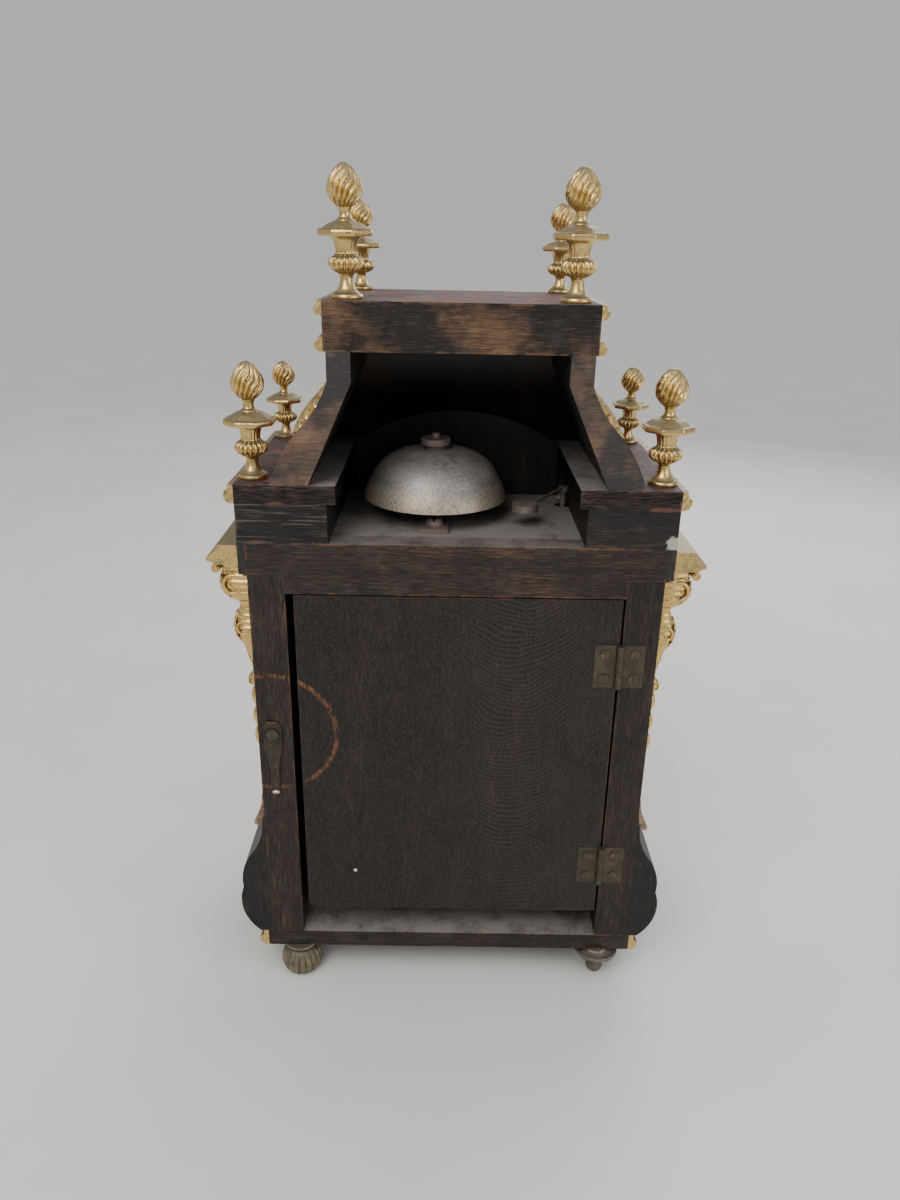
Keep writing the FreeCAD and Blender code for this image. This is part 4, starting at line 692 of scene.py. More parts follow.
@dataclass(frozen=True)
class BellFinish:
    """Grey bell metal with a tan speckled band over the rim.

    Attributes:
        name: name of the material.
        rim: height of the rim in millimetres.
        crown: height of the crown.
        grey: colour of the upper part.
        tan: colour of the band.
        pit: colour of the dark specks.
        fleck: colour of the pale ones.
        dust: colour of the dust.
    """

    name: str
    rim: float
    crown: float
    grey: Colour = (0.28, 0.266, 0.252)
    tan: Colour = (0.43, 0.355, 0.265)
    pit: Colour = (0.13, 0.115, 0.10)
    fleck: Colour = (0.50, 0.44, 0.36)
    dust: Colour = (0.20, 0.19, 0.18)

    def make(self) -> bpy.types.Material:
        """Make the material of the bell.

        Returns:
            The material.
        """
        sheet = Sheet(self.name)
        spot = sheet.place()
        rise = (spot.axis("Z") - self.rim) * (1 / (self.crown - self.rim))
        cloud = sheet.noise(spot, 13.0, 5.0, 0.65)
        speck = sheet.noise(spot * (1.0, 1.0, 0.6), 1.3, 3.0, 0.65)
        low = (rise + (cloud - 0.5) * 0.5).step(0.52, 0.06)
        colour = sheet.mix(self.grey, self.tan, low)
        colour = sheet.mix(colour, self.pit, speck.step(0.48, 0.38) * 0.6)
        colour = sheet.mix(colour, self.fleck, speck.step(0.56, 0.66) * 0.6)
        dust = sheet.facing("Z").step(0.2, 0.9) * cloud.step(0.3, 0.7)
        colour = sheet.mix(colour, self.dust, dust * 0.55)
        rough = speck * 0.2 + dust * 0.16 + 0.40
        return sheet.dress(colour, rough, 0.75 - dust * 0.35, speck, 0.09)


@dataclass(frozen=True)
class DialFinish:
    """Gilt chapter ring with engraved minutes and enamel hour plaques.

    Attributes:
        name: name of the material.
        centre: height of the dial's centre in millimetres.
        outer: outer radius of the ring.
        face: place along Y of the ring's face.
        track: distance of the minute track's middle from the ring's edge.
        gilt: colour of the ring.
        dull: colour where it has gone dull.
        ink: colour of the minute marks.
        milk: colour of the enamel.
        cream: colour where it is older.
    """

    name: str
    centre: float
    outer: float
    face: float
    track: float = 4.0
    gilt: Colour = (0.66, 0.44, 0.16)
    dull: Colour = (0.36, 0.27, 0.13)
    ink: Colour = (0.012, 0.01, 0.01)
    milk: Colour = (0.76, 0.74, 0.68)
    cream: Colour = (0.66, 0.63, 0.55)

    def make(self) -> bpy.types.Material:
        """Make the material of the ring and its plaques.

        Returns:
            The material.
        """
        sheet = Sheet(self.name)
        spot = sheet.place()
        x, z = spot.axis("X"), spot.axis("Z") - self.centre
        away = (x * x + z * z).reckon("SQRT")
        turn = x.reckon("ARCTAN2", z) * (60 / math.tau)
        tick = abs(turn - turn.reckon("ROUND"))
        track = abs(away - (self.outer - self.track))
        rails = abs(track - 2.4).step(0.28, 0.14)
        mark = (tick.step(0.07, 0.04) * track.step(2.3, 2.1)).most(rails)
        cloud = sheet.noise(spot, 7.0, 5.0, 0.65)
        colour = sheet.mix(self.gilt, self.dull, cloud.step(0.4, 0.68))
        colour = sheet.mix(colour, self.ink, mark)
        enamel = spot.axis("Y").step(self.face - 0.1, self.face - 0.35)
        milk = sheet.noise(spot, 5.0, 3.0)
        white = sheet.mix(self.milk, self.cream, milk.step(0.4, 0.7))
        colour = sheet.mix(colour, white, enamel)
        rough = (cloud * 0.2 + 0.22) * (1 - enamel) + (milk * 0.06 + 0.09) * enamel
        metal = (1 - enamel) * (0.95 - mark * 0.8)
        return sheet.dress(colour, rough, metal, cloud * 0.3 - mark, 0.06)


@dataclass(frozen=True)
class ClothGround:
    """Dark napped ground behind the chapter ring.

    Attributes:
        name: name of the material.
        deep: colour of the crushed nap.
        raised: colour of the raised nap.
    """

    name: str
    deep: Colour = (0.012, 0.004, 0.004)
    raised: Colour = (0.040, 0.014, 0.012)

    def make(self) -> bpy.types.Material:
        """Make the material of the napped ground.

        Returns:
            The material.
        """
        sheet = Sheet(self.name)
        spot = sheet.place()
        nap = sheet.noise(spot, 0.35, 3.0, 0.7)
        crush = sheet.noise(spot, 24.0, 4.0, 0.6)
        colour = sheet.mix(self.deep, self.raised, (nap * 0.5 + crush * 0.5).step(0.35, 0.7))
        return sheet.dress(colour, 0.92 - crush * 0.12, 0.0, nap, 0.05, Sheen_Weight=0.2)


@dataclass(frozen=True)
class GlassFinish:
    """Thin clear door glass, a little wavy and dusty.

    Attributes:
        name: name of the material.
        clear: tint of the clean glass.
        dusty: tint where dust lies.
    """

    name: str
    clear: Colour = (0.42, 0.45, 0.44)
    dusty: Colour = (0.55, 0.53, 0.49)

    def make(self) -> bpy.types.Material:
        """Make the material of the glass.

        Returns:
            The material.
        """
        sheet = Sheet(self.name)
        spot = sheet.place()
        dust = sheet.noise(spot, 30.0, 5.0, 0.65)
        wave = sheet.noise(spot * (1.0, 1.0, 0.4), 40.0, 2.0)
        veil = dust.step(0.45, 0.8) * 0.03 + 0.035
        colour = sheet.mix(self.clear, self.dusty, dust.step(0.4, 0.75))
        return sheet.dress(colour, dust * 0.06 + 0.02, 0.0, wave, 0.1, Alpha=veil, IOR=1.5)


@dataclass(frozen=True)
class FloorFinish:
    """Plain pale paper of the studio floor.

    Attributes:
        name: name of the material.
        shade: colour of the paper.
    """

    name: str
    shade: Colour = (0.62, 0.61, 0.59)

    def make(self) -> bpy.types.Material:
        """Make the material of the floor.

        Returns:
            The material.
        """
        sheet = Sheet(self.name)
        cloud = sheet.noise(sheet.place(), 160.0, 3.0)
        colour = sheet.mix(self.shade, tuple(part * 0.95 for part in self.shade), cloud.step(0.3, 0.7))
        return sheet.dress(colour, cloud * 0.06 + 0.62)


def flow(points: Points, steps: int = 6) -> np.ndarray:
    """Smooth line through points.

    Args:
        points: points of a flat outline.
        steps: stretches between two points.

    Returns:
        Array of the points along the line.
    """
    knots = np.array(points, float)
    slopes = np.gradient(knots, axis=0)
    line = []
    for index in range(len(knots) - 1):
        for share in np.linspace(0, 1, steps, endpoint=False):
            near, far = 2 * share**3 - 3 * share**2 + 1, 3 * share**2 - 2 * share**3
            leaving, coming = share**3 - 2 * share**2 + share, share**3 - share**2
            ends = near * knots[index] + far * knots[index + 1]
            line.append(ends + leaving * slopes[index] + coming * slopes[index + 1])
    return np.array([*line, knots[-1]])


def lobes(count: int, depth: Callable[[float], float], twist: float = 0.0, sway: float = 0.0) -> Carving:
    """Carving of lobes or flutes round a turned form.

    Args:
        count: lobes round the form.
        depth: depth of the hollows as a share of the radius, at a share of the height.
        twist: turn of the lobes over the height, in radians.
        sway: how unevenly they are spaced, in radians.

    Returns:
        Function that gives the share of the radius that is left.
    """
    def carve(share: float, turns: np.ndarray) -> np.ndarray:
        """Share of the radius that is left at a share of the height, for each turn."""
        uneven = sway * np.sin(3 * turns + 6 * share)
        return 1 - depth(share) * (1 - np.abs(np.cos(count / 2 * (turns + twist * share + uneven))))

    return carve


def eight_sided(share: float, turns: np.ndarray) -> np.ndarray:
    """Share of the radius that is left, for each turn, on a form with eight flat sides."""
    off = (turns + math.pi / 8) % (math.pi / 4) - math.pi / 8
    return math.cos(math.pi / 8) / np.cos(off)


def turned(line: np.ndarray, columns: int, carve: Carving | None) -> np.ndarray:
    """Rows of a turned form.

    Args:
        line: its outline, as points (radius, height) in millimetres.
        columns: points round the form.
        carve: gives the share of the radius that is left, or None.

    Returns:
        Rows of points round the Z axis.
    """
    turns = np.linspace(0, math.tau, columns, endpoint=False)
    low, high = line[0, 1], line[-1, 1]
    rows = []
    for radius, height in line:
        reach = radius if carve is None else radius * carve((height - low) / (high - low), turns)
        ring = [reach * np.cos(turns), reach * np.sin(turns), np.full(columns, height)]
        rows.append(np.stack(ring, axis=1))
    return np.array(rows)


class Surface:
    """Rows of points, in millimetres, gathered into one mesh."""

    def __init__(self) -> None:
        """Start with no points."""
        self.points: list[np.ndarray] = []
        self.faces: list[tuple[int, ...]] = []
        self.count = 0

    def skin(self, rows: np.ndarray, capped: bool = True) -> None:
        """Join rows of points, each of them a ring, with faces.

        Args:
            rows: array of rows, columns and three numbers.
            capped: whether the first and last rows are filled.
        """
        height, width = rows.shape[:2]
        start = self.count
        self.points.append(rows.reshape(-1, 3))
        self.count += height * width
        for row in range(height - 1):
            for column in range(width):
                here = start + row * width + column
                beside = start + row * width + (column + 1) % width
                self.faces.append((here, beside, beside + width, here + width))
        if capped:
            self.faces.append(tuple(start + column for column in reversed(range(width))))
            self.faces.append(tuple(start + (height - 1) * width + column for column in range(width)))

    def tube(self, line: np.ndarray, radii: np.ndarray, columns: int = 8) -> None:
        """Skin a round tube along a line.

        Args:
            line: array of points.
            radii: radius at each point.
            columns: points round the tube.
        """
        ahead = np.gradient(line, axis=0)
        ahead /= np.linalg.norm(ahead, axis=1)[:, None]
        aside = np.cross(ahead, np.array([0.31, 0.87, 0.38]))
        aside /= np.linalg.norm(aside, axis=1)[:, None]
        above = np.cross(ahead, aside)
        turns = np.linspace(0, math.tau, columns, endpoint=False)
        ring = np.cos(turns)[None, :, None] * aside[:, None] + np.sin(turns)[None, :, None] * above[:, None]
        self.skin(line[:, None] + ring * radii[:, None, None])

    def cast(self, sections: Sections, size: tuple[float, float], columns: int,
             seats: Sequence[Place]) -> None:
        """Skin a turned form at every seat.

        Args:
            sections: outlines, as shares of radius and height, and how each is carved.
            size: radius and height of the form.
            columns: points round it.
            seats: places where it stands.
        """
        for line, carve in sections:
            rows = turned(line * size, columns, carve)
            for seat in seats:
                self.skin(rows + np.array(seat))

    def piece(self, name: str, material: bpy.types.Material, body: str,
              sharp: float = 40.0) -> bpy.types.Object:
        """Make the mesh an object that rides on a body.

        Args:
            name: name of the piece.
            material: its finish.
            body: CAD body that it rides on.
            sharp: angle in degrees over which an edge stays sharp.

        Returns:
            The new object.
        """
        mesh = bpy.data.meshes.new(name)
        mesh.from_pydata((np.concatenate(self.points) * MM).tolist(), [], self.faces)
        work = bmesh.new()
        work.from_mesh(mesh)
        bmesh.ops.remove_doubles(work, verts=work.verts, dist=1e-6)
        bmesh.ops.recalc_face_normals(work, faces=work.faces)
        work.to_mesh(mesh)
        work.free()
        mesh.shade_smooth()
        mesh.set_sharp_from_angle(angle=math.radians(sharp))
        mesh.materials.append(material)
        made = bpy.data.objects.new(name, mesh)
        bpy.context.scene.collection.objects.link(made)
        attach(made, body)
        log.info("piece %s rides on %s", name, body)
        return made


def dress(material: bpy.types.Material, *nodes: str) -> None:
    """Give CAD nodes a finish.

    Args:
        material: the finish.
        *nodes: names of the nodes.
    """
    for node in nodes:
        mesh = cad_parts[node].data
        mesh.materials.clear()
        mesh.materials.append(material)
        log.info("node %s takes %s", node, material.name)


def ridge(path: np.ndarray, widths: np.ndarray, heights: np.ndarray, ribs: float,
          columns: int) -> np.ndarray:
    """Rows of a raised, rounded form along a path in the plane of U (out) and V (up).

    Args:
        path: points (u, v) of the ground that the form stands on.
        widths: half-width at each point.
        heights: height over the ground at each point.
        ribs: depth of the ribs along the form, as a share of its height.
        columns: points across the form.

    Returns:
        Rows of points (u, aside, v).
    """
    ahead = np.gradient(path, axis=0)
    ahead /= np.linalg.norm(ahead, axis=1)[:, None]
    out = np.stack([ahead[:, 1], -ahead[:, 0]], axis=1)
    out *= np.sign(out[:, :1] + 1e-9)
    turn = np.linspace(-math.pi / 2, math.pi / 2, columns)
    across = np.sign(np.sin(turn)) * np.abs(np.sin(turn)) ** 0.8
    crown = np.maximum(np.cos(turn), 0.0) ** 0.6
    crown = crown * (1 - ribs * (0.5 - 0.5 * np.cos(across * math.pi * 5)))
    lift = heights[:, None] * crown[None]
    u = path[:, :1] + out[:, :1] * lift
    v = path[:, 1:] + out[:, 1:] * lift
    return np.stack([u, widths[:, None] * across[None], v], axis=2)


def on_side(points: np.ndarray, side: Side, seat: Place) -> np.ndarray:
    """Stand points (out, aside, up) on a side of the case.

    Args:
        points: the points in millimetres.
        side: which side.
        seat: distance of the side from the middle, place along Y and height.

    Returns:
        The points on the clock.
    """
    out, aside, up = points[..., 0], points[..., 1], points[..., 2]
    return np.stack([side.value * (seat[0] + out), seat[1] + aside, seat[2] + up], axis=-1)


@dataclass
class Finials:
    """A set of cast finials: foot, gadrooned bulb, eight-sided plate and twisted flame.

    Attributes:
        node: CAD node that the set stands for.
        name: name of the piece.
        radius: radius to the corners of the plate.
        height: height over the ledge or crown.
        seats: places where they stand.
        columns: points round a finial.
        gadroons: lobes round the bulb.
        flutes: flutes round the flame.
        twist: turn of the flutes over the flame, in radians.
        sway: how unevenly they are spaced, in radians.
    """

    node: str
    name: str
    radius: float
    height: float
    seats: Sequence[Place]
    columns: int = 126
    gadroons: int = 18
    flutes: int = 14
    twist: float = -1.3
    sway: float = 0.09

    def sections(self) -> Sections:
        """Outlines of the sections, as shares of radius and height, and how each is carved.

        Returns:
            Outline and carving of each section.
        """
        foot = np.array([(0.53, 0.0), (0.56, 0.014), (0.54, 0.038), (0.47, 0.047)])
        neck = flow([(0.46, 0.050), (0.34, 0.075), (0.26, 0.115), (0.225, 0.165), (0.28, 0.195)])
        bulb = flow([(0.27, 0.193), (0.44, 0.212), (0.59, 0.240), (0.64, 0.272), (0.57, 0.308),
                     (0.42, 0.332)])
        throat = flow([(0.42, 0.332), (0.37, 0.346), (0.375, 0.38), (0.44, 0.44), (0.57, 0.472)])
        plate = np.array([(0.57, 0.470), (0.97, 0.472), (1.0, 0.481), (1.0, 0.512), (0.96, 0.522)])
        roof = flow([(0.97, 0.522), (0.86, 0.528), (0.74, 0.545), (0.60, 0.564), (0.43, 0.578),
                     (0.37, 0.585)], 3)
        stem = flow([(0.33, 0.584), (0.31, 0.592), (0.225, 0.611), (0.20, 0.645), (0.25, 0.685)])
        flame = flow([(0.22, 0.675), (0.42, 0.712), (0.57, 0.757), (0.625, 0.812), (0.575, 0.868),
                      (0.43, 0.926), (0.27, 0.970), (0.13, 0.993), (0.02, 0.999)], 4)
        swelling = lobes(self.gadroons, lambda share: 0.24 * math.sin(math.pi * share) ** 0.5)
        fading = lobes(self.gadroons, lambda share: 0.10 * (1 - share))
        burning = lobes(self.flutes,
                        lambda share: 0.22 * math.sin(math.pi * min(share * 1.05, 1)) ** 0.6 + 0.02,
                        self.twist, self.sway)
        return [(foot, None), (neck, None), (bulb, swelling), (throat, fading), (plate, eight_sided),
                (roof, eight_sided), (stem, None), (flame, burning)]

    def build(self, material: bpy.types.Material) -> None:
        """Build the set in place of its CAD node.

        Args:
            material: its gilding.
        """
        surface = Surface()
        surface.cast(self.sections(), (self.radius, self.height), self.columns, self.seats)
        made = surface.piece(self.name, material, "case", 50.0)
        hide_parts(self.node)


@dataclass
class BunFeet:
    """Fluted bun feet.

    Attributes:
        seats: places of the feet on the floor.
        radius: greatest radius.
        height: height of a foot.
        flutes: flutes round a foot.
        columns: points round a foot.
    """

    seats: Sequence[Place]
    radius: float = 15.2
    height: float = 26.0
    flutes: int = 18
    columns: int = 108

    def build(self, material: bpy.types.Material) -> None:
        """Build the feet in place of their CAD node.

        Args:
            material: their gilding.
        """
        bun = flow([(0.60, 0.0), (0.84, 0.10), (0.99, 0.30), (0.99, 0.48), (0.86, 0.68), (0.66, 0.80)])
        collar = flow([(0.62, 0.80), (0.52, 0.84), (0.55, 0.88), (0.78, 0.92), (0.80, 0.96), (0.78, 1.0)])
        fluted = lobes(self.flutes,
                       lambda share: 0.11 * math.sin(math.pi * min(max(share, 0.0), 1.0)) ** 0.6)
        sections = [(bun, fluted), (collar, None)]
        surface = Surface()
        surface.cast(sections, (self.radius, self.height), self.columns, self.seats)
        made = surface.piece("fluted_feet", material, "case")
        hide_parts("bun_feet")


@dataclass
class SaucerFoot:
    """Turned foot with a saucer, a thin neck and a ball end.

    Attributes:
        seat: place of the foot on the floor.
        radius: radius of the saucer.
        height: height of the foot.
        columns: points round the foot.
    """

    seat: Place
    radius: float = 16.08
    height: float = 26.0
    columns: int = 64

    def build(self, material: bpy.types.Material) -> None:
        """Build the foot in place of its CAD node.

        Args:
            material: its metal.
        """
        ball = flow([(0.12, 0.0), (0.26, 0.03), (0.36, 0.13), (0.37, 0.24), (0.30, 0.35), (0.23, 0.40)])
        ring = flow([(0.23, 0.40), (0.34, 0.43), (0.34, 0.46), (0.27, 0.49)], 4)
        saucer = flow([(0.27, 0.49), (0.40, 0.56), (0.64, 0.65), (0.90, 0.74), (0.985, 0.79), (1.0, 0.84),
                       (0.975, 0.885), (0.93, 0.885), (0.90, 0.865), (0.70, 0.89), (0.56, 0.93),
                       (0.54, 1.0)])
        sections = [(ball, None), (ring, None), (saucer, None)]
        surface = Surface()
        surface.cast(sections, (self.radius, self.height), self.columns, [self.seat])
        made = surface.piece("saucer_foot", material, "case")
        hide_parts("turned_foot")


@dataclass
class Consoles:
    """Cast scroll consoles on the case sides, with leaves, volutes and husks.

    Attributes:
        reach: how far a console stands out.
        height: height of the scroll.
        half_width: half of its width.
        husk: length of the husks under it.
        husk_form: their half-width and lift.
        seats: places along Y of the consoles' middles.
        contour_knots: share of the height and of the reach along the outer line.
        width_knots: share of the height and of the half-width.
        leaves: shares of the height where each leaf starts and ends, its half-width and its lift.
        curls: shares of reach and height at each volute's middle, its radius and its turns.
        roll: radius of the roll under the slab, which lies in the first volutes.
    """

    reach: float = 20.5
    height: float = 90.0
    half_width: float = 12.0
    husk: float = 47.0
    husk_form: tuple[float, float] = (9.0, 5.4)
    seats: Sequence[float] = (REAR - 15.0, REAR - 125.0)
    contour_knots: Points = (
        (0.0, 0.20), (0.03, 0.33), (0.055, 0.37), (0.085, 0.31), (0.125, 0.15), (0.20, 0.17), (0.31, 0.34),
        (0.42, 0.55), (0.505, 0.60), (0.57, 0.56), (0.61, 0.48), (0.67, 0.41), (0.70, 0.55), (0.735, 0.76),
        (0.80, 0.88), (0.86, 0.91), (0.915, 0.83), (0.94, 0.94), (0.965, 0.985), (1.0, 0.98))
    width_knots: Points = (
        (0.0, 0.34), (0.055, 0.5), (0.125, 0.28), (0.2, 0.36), (0.31, 0.52), (0.5, 0.80), (0.61, 0.62),
        (0.67, 0.60), (0.735, 0.86), (0.86, 0.96), (0.93, 0.90), (0.95, 1.0), (1.0, 1.0))
    leaves: Sequence[Sequence[float]] = ((0.70, 0.93, 8.2, 1.7), (0.36, 0.60, 6.6, 1.5),
                                         (0.12, 0.33, 3.6, 1.1))
    curls: Sequence[Sequence[float]] = ((0.98, 0.947, 3.1, 1.2), (0.50, 0.825, 7.2, 1.7),
                                        (0.27, 0.49, 5.4, 1.5), (0.17, 0.055, 2.9, 1.2))
    roll: float = 2.5

    @property
    def foot(self) -> float:
        """Height of a console's lower end, for its top to meet the slab over it."""
        return box_mm("cornice_slabs")[0][2] - self.height

    def contour(self, low: float, high: float, count: int) -> tuple[np.ndarray, np.ndarray]:
        """Outer line of the scroll between two shares of its height.

        Args:
            low: share where it starts.
            high: share where it ends.
            count: points along it.

        Returns:
            Heights and reaches in millimetres.
        """
        shares = np.linspace(low, high, count)
        fine = np.interp(shares, *np.array(self.contour_knots).T)
        soft = np.convolve(np.pad(fine, 2, mode="edge"), [0.1, 0.2, 0.4, 0.2, 0.1], "valid")
        return shares * self.height, soft * self.reach

    def widths(self, heights: np.ndarray) -> np.ndarray:
        """Half-widths of the scroll at heights over its foot."""
        return np.interp(heights / self.height, *np.array(self.width_knots).T) * self.half_width

    def scroll(self) -> list[np.ndarray]:
        """Rows of the scroll's body, its leaves and its husks.

        Returns:
            Arrays of rows (out, aside, up) in millimetres.
        """
        up, out = self.contour(0.0, 1.0, 110)
        lobed = self.widths(up) * (1 + 0.05 * np.cos(up * 1.55))
        forms = [ridge(np.stack([np.zeros_like(up), up], axis=1), lobed, out, 0.10, 33)]
        for low, high, wide, lift in self.leaves:
            up, out = self.contour(low, high, 48)
            share = np.linspace(0, 1, 48)
            fan = np.sin(math.pi * (0.06 + 0.9 * share)) ** 0.7
            nick = 0.80 + 0.20 * np.abs(np.sin(share * math.pi * 6))
            path = np.stack([out - 0.5, up], axis=1)
            forms.append(ridge(path, wide * fan * nick, (lift + 0.4 * fan) * (0.35 + 0.65 * nick), 0.45, 29))
        drops = np.linspace(0, 1, 90)
        beat = np.abs(np.sin(drops * math.pi * 3)) ** 0.7
        taper = 0.55 + 0.45 * drops
        path = np.stack([np.zeros_like(drops), (drops - 1) * self.husk + 1.0], axis=1)
        wide, lift = self.husk_form
        forms.append(ridge(path, wide * taper * (0.45 + 0.55 * beat), lift * (0.5 + 0.5 * beat), 0.35, 21))
        return forms

    def volutes(self) -> list[tuple[np.ndarray, np.ndarray]]:
        """Spiral rolls on both cheeks of the scroll, and the roll under the slab.

        Returns:
            Lines (out, aside, up) and radii of the rolls.
        """
        rolls = []
        share = np.linspace(0, 1, 46)
        for out, up, size, turns in self.curls:
            spin = math.pi * 0.6 - math.tau * turns * share
            radius = size * (1 - 0.82 * share)
            outs = out * self.reach + radius * np.cos(spin)
            ups = up * self.height + radius * np.sin(spin)
            cheek = float(self.widths(np.array([up * self.height]))[0]) * 0.86
            for side in Side:
                line = np.stack([outs, np.full_like(outs, side.value * cheek), ups], axis=1)
                rolls.append((line, size * 0.2 * (1 - 0.45 * share)))
        across = np.linspace(-1, 1, 40)
        out, up = self.curls[0][:2]
        outs = np.full_like(across, out * self.reach)
        ups = np.full_like(across, up * self.height)
        bar = np.stack([outs, across * self.half_width * 0.84, ups], axis=1)
        rolls.append((bar, self.roll * (0.86 + 0.14 * np.cos(across * math.tau * 3))))
        return rolls

    def build(self, material: bpy.types.Material) -> None:
        """Build all consoles in place of their CAD node.

        Args:
            material: their gilding.
        """
        surface = Surface()
        for side in Side:
            for middle in self.seats:
                seat = (WALL, middle, self.foot)
                for rows in self.scroll():
                    surface.skin(on_side(rows, side, seat))
                for line, radii in self.volutes():
                    surface.tube(on_side(line, side, seat), radii)
        made = surface.piece("scroll_consoles", material, "case", 60.0)
        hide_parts("side_consoles")


@dataclass
class LeafMounts:
    """Small gilt leaves over the bombe sides and on the roof.

    Attributes:
        low: height of the lower tip of a leaf on the side.
        high: height of its upper tip.
        curl: how far its lower tip stands out.
        side_form: half-width and lift of a leaf on the side.
        seats: places along Y of those leaves' middles.
        roof: foot of the roof's side: distance from the middle, place along Y of the leaf and height.
        slope: points (out, up) from that foot, along which the roof's leaf lies.
        roof_form: half-width and lift of the roof's leaf.
    """

    low: float = 124.0
    high: float = 158.0
    curl: float = 9.0
    side_form: tuple[float, float] = (10.0, 5.2)
    seats: Sequence[float] = (REAR - 13.0, REAR - 70.0, REAR - 127.0)
    roof: Place = (box_mm("roof_panels")[1][0], REAR - 54.0, LEDGE)
    slope: Points = ((-8.2, 19.5), (-18.1, 32.9), (-28.7, 45.9), (-34.4, 57.0))
    roof_form: tuple[float, float] = (20.0, 6.2)

    def leaf(self, path: np.ndarray, wide: float, lift: float) -> np.ndarray:
        """Rows of one lobed leaf.

        Args:
            path: points (out, up) from its root to its tip.
            wide: greatest half-width.
            lift: height over the ground.

        Returns:
            Rows of points (out, aside, up).
        """
        share = np.linspace(0, 1, len(path))
        fan = np.sin(math.pi * (0.04 + 0.92 * share)) ** 0.65 * (1 - 0.35 * share)
        nick = 0.76 + 0.24 * np.abs(np.sin(share * math.pi * 5))
        return ridge(path, wide * fan * nick, lift * (0.3 + 0.7 * fan), 0.45, 25)

    def build(self, roof_gilt: bpy.types.Material, side_gilt: bpy.types.Material) -> None:
        """Build the leaves over the bombe sides, and those on the roof in place of their CAD node.

        Args:
            roof_gilt: gilding of the leaves on the roof.
            side_gilt: gilding of those over the bombe sides.
        """
        surface = Surface()
        share = np.linspace(0, 1, 60)
        swell = self.curl * np.clip((0.55 - share) / 0.55, 0, 1) ** 1.7
        path = np.stack([swell - 0.3, self.low + share * (self.high - self.low)], axis=1)
        for side in Side:
            for middle in self.seats:
                surface.skin(on_side(self.leaf(path, *self.side_form), side, (WALL, middle, 0.0)))
        made = surface.piece("bombe_leaves", side_gilt, "case", 60.0)
        surface = Surface()
        for side in Side:
            surface.skin(on_side(self.leaf(flow(self.slope, 20), *self.roof_form), side, self.roof))
        made = surface.piece("roof_sprays", roof_gilt, "case", 60.0)
        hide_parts("roof_leaves")


@dataclass
class HourNumerals:
    """Hour numerals on the enamel plaques.

    Attributes:
        centre: height of the dial's centre.
        face: place along Y of the plaques' faces.
        middle: radius of the circle of plaques.
        height: height of a numeral.
        room: greatest width of a numeral.
        stroke: width of a plain stroke.
        thick: width of a down stroke, as a share of a plain one.
        thin: width of an up stroke.
        serif: width of a serif.
        gap: room left free on each side of a letter.
        overhang: how far a serif reaches past the letter.
        sunk: depth of a stroke's foot under the plaque's face.
        raised: height of a stroke over that face.
        hours: numerals from twelve on.
        advance: width that each letter takes.
    """

    centre: float
    face: float
    middle: float = 71.0
    height: float = 8.4
    room: float = 12.4
    stroke: float = 1.15
    thick: float = 1.1
    thin: float = 0.5
    serif: float = 0.42
    gap: float = 0.7
    overhang: float = 0.5
    sunk: float = 0.02
    raised: float = 0.12
    hours: Sequence[str] = ("XII", "I", "II", "III", "IIII", "V", "VI", "VII", "VIII", "IX", "X", "XI")
    advance: dict[str, float] = field(default_factory=lambda: {"I": 2.0, "V": 5.0, "X": 5.2})

    def strokes(self, letters: str) -> list[tuple[np.ndarray, np.ndarray, float]]:
        """Strokes of one numeral.

        Args:
            letters: the numeral.

        Returns:
            Strokes as two ends, round the numeral's middle, and a share of the plain width.
        """
        width = sum(self.advance[letter] for letter in letters)
        squeeze = min(1.0, self.room / width)
        half = self.height / 2
        at = -width / 2
        lines = []
        for letter in letters:
            room = self.advance[letter]
            mid, reach = at + room / 2, room / 2 - self.gap
            foot = {"I": None, "V": 0.0, "X": reach}[letter]
            if foot is None:
                lines.append(((mid, -half), (mid, half), 1.0))
            else:
                lines.append(((mid - reach, half), (mid + foot, -half), self.thick))
                lines.append(((mid + reach, half), (mid - foot, -half), self.thin))
            left, right = mid - reach - self.overhang, mid + reach + self.overhang
            for level in (-half, half):
                lines.append(((left, level), (right, level), self.serif))
            at += room
        narrow = np.array([squeeze, 1.0])
        return [(narrow * start, narrow * end, share) for start, end, share in lines]

    def build(self, material: bpy.types.Material) -> None:
        """Build the numerals on the dial.

        Args:
            material: their ink.
        """
        surface = Surface()
        for hour, letters in enumerate(self.hours):
            turn = math.tau * hour / 12
            for start, end, share in self.strokes(letters):
                run = end - start
                aside = np.array([-run[1], run[0]]) / np.linalg.norm(run) * self.stroke * share / 2
                corners = np.array([start + aside, end + aside, end - aside, start - aside])
                x = corners[:, 0] * math.cos(turn) + (corners[:, 1] + self.middle) * math.sin(turn)
                z = (corners[:, 1] + self.middle) * math.cos(turn) - corners[:, 0] * math.sin(turn)
                rows = [np.stack([x, np.full(4, y), z + self.centre], axis=1)
                        for y in (self.face + self.sunk, self.face - self.raised)]
                surface.skin(np.array(rows))
        made = surface.piece("hour_numerals", material, "case")


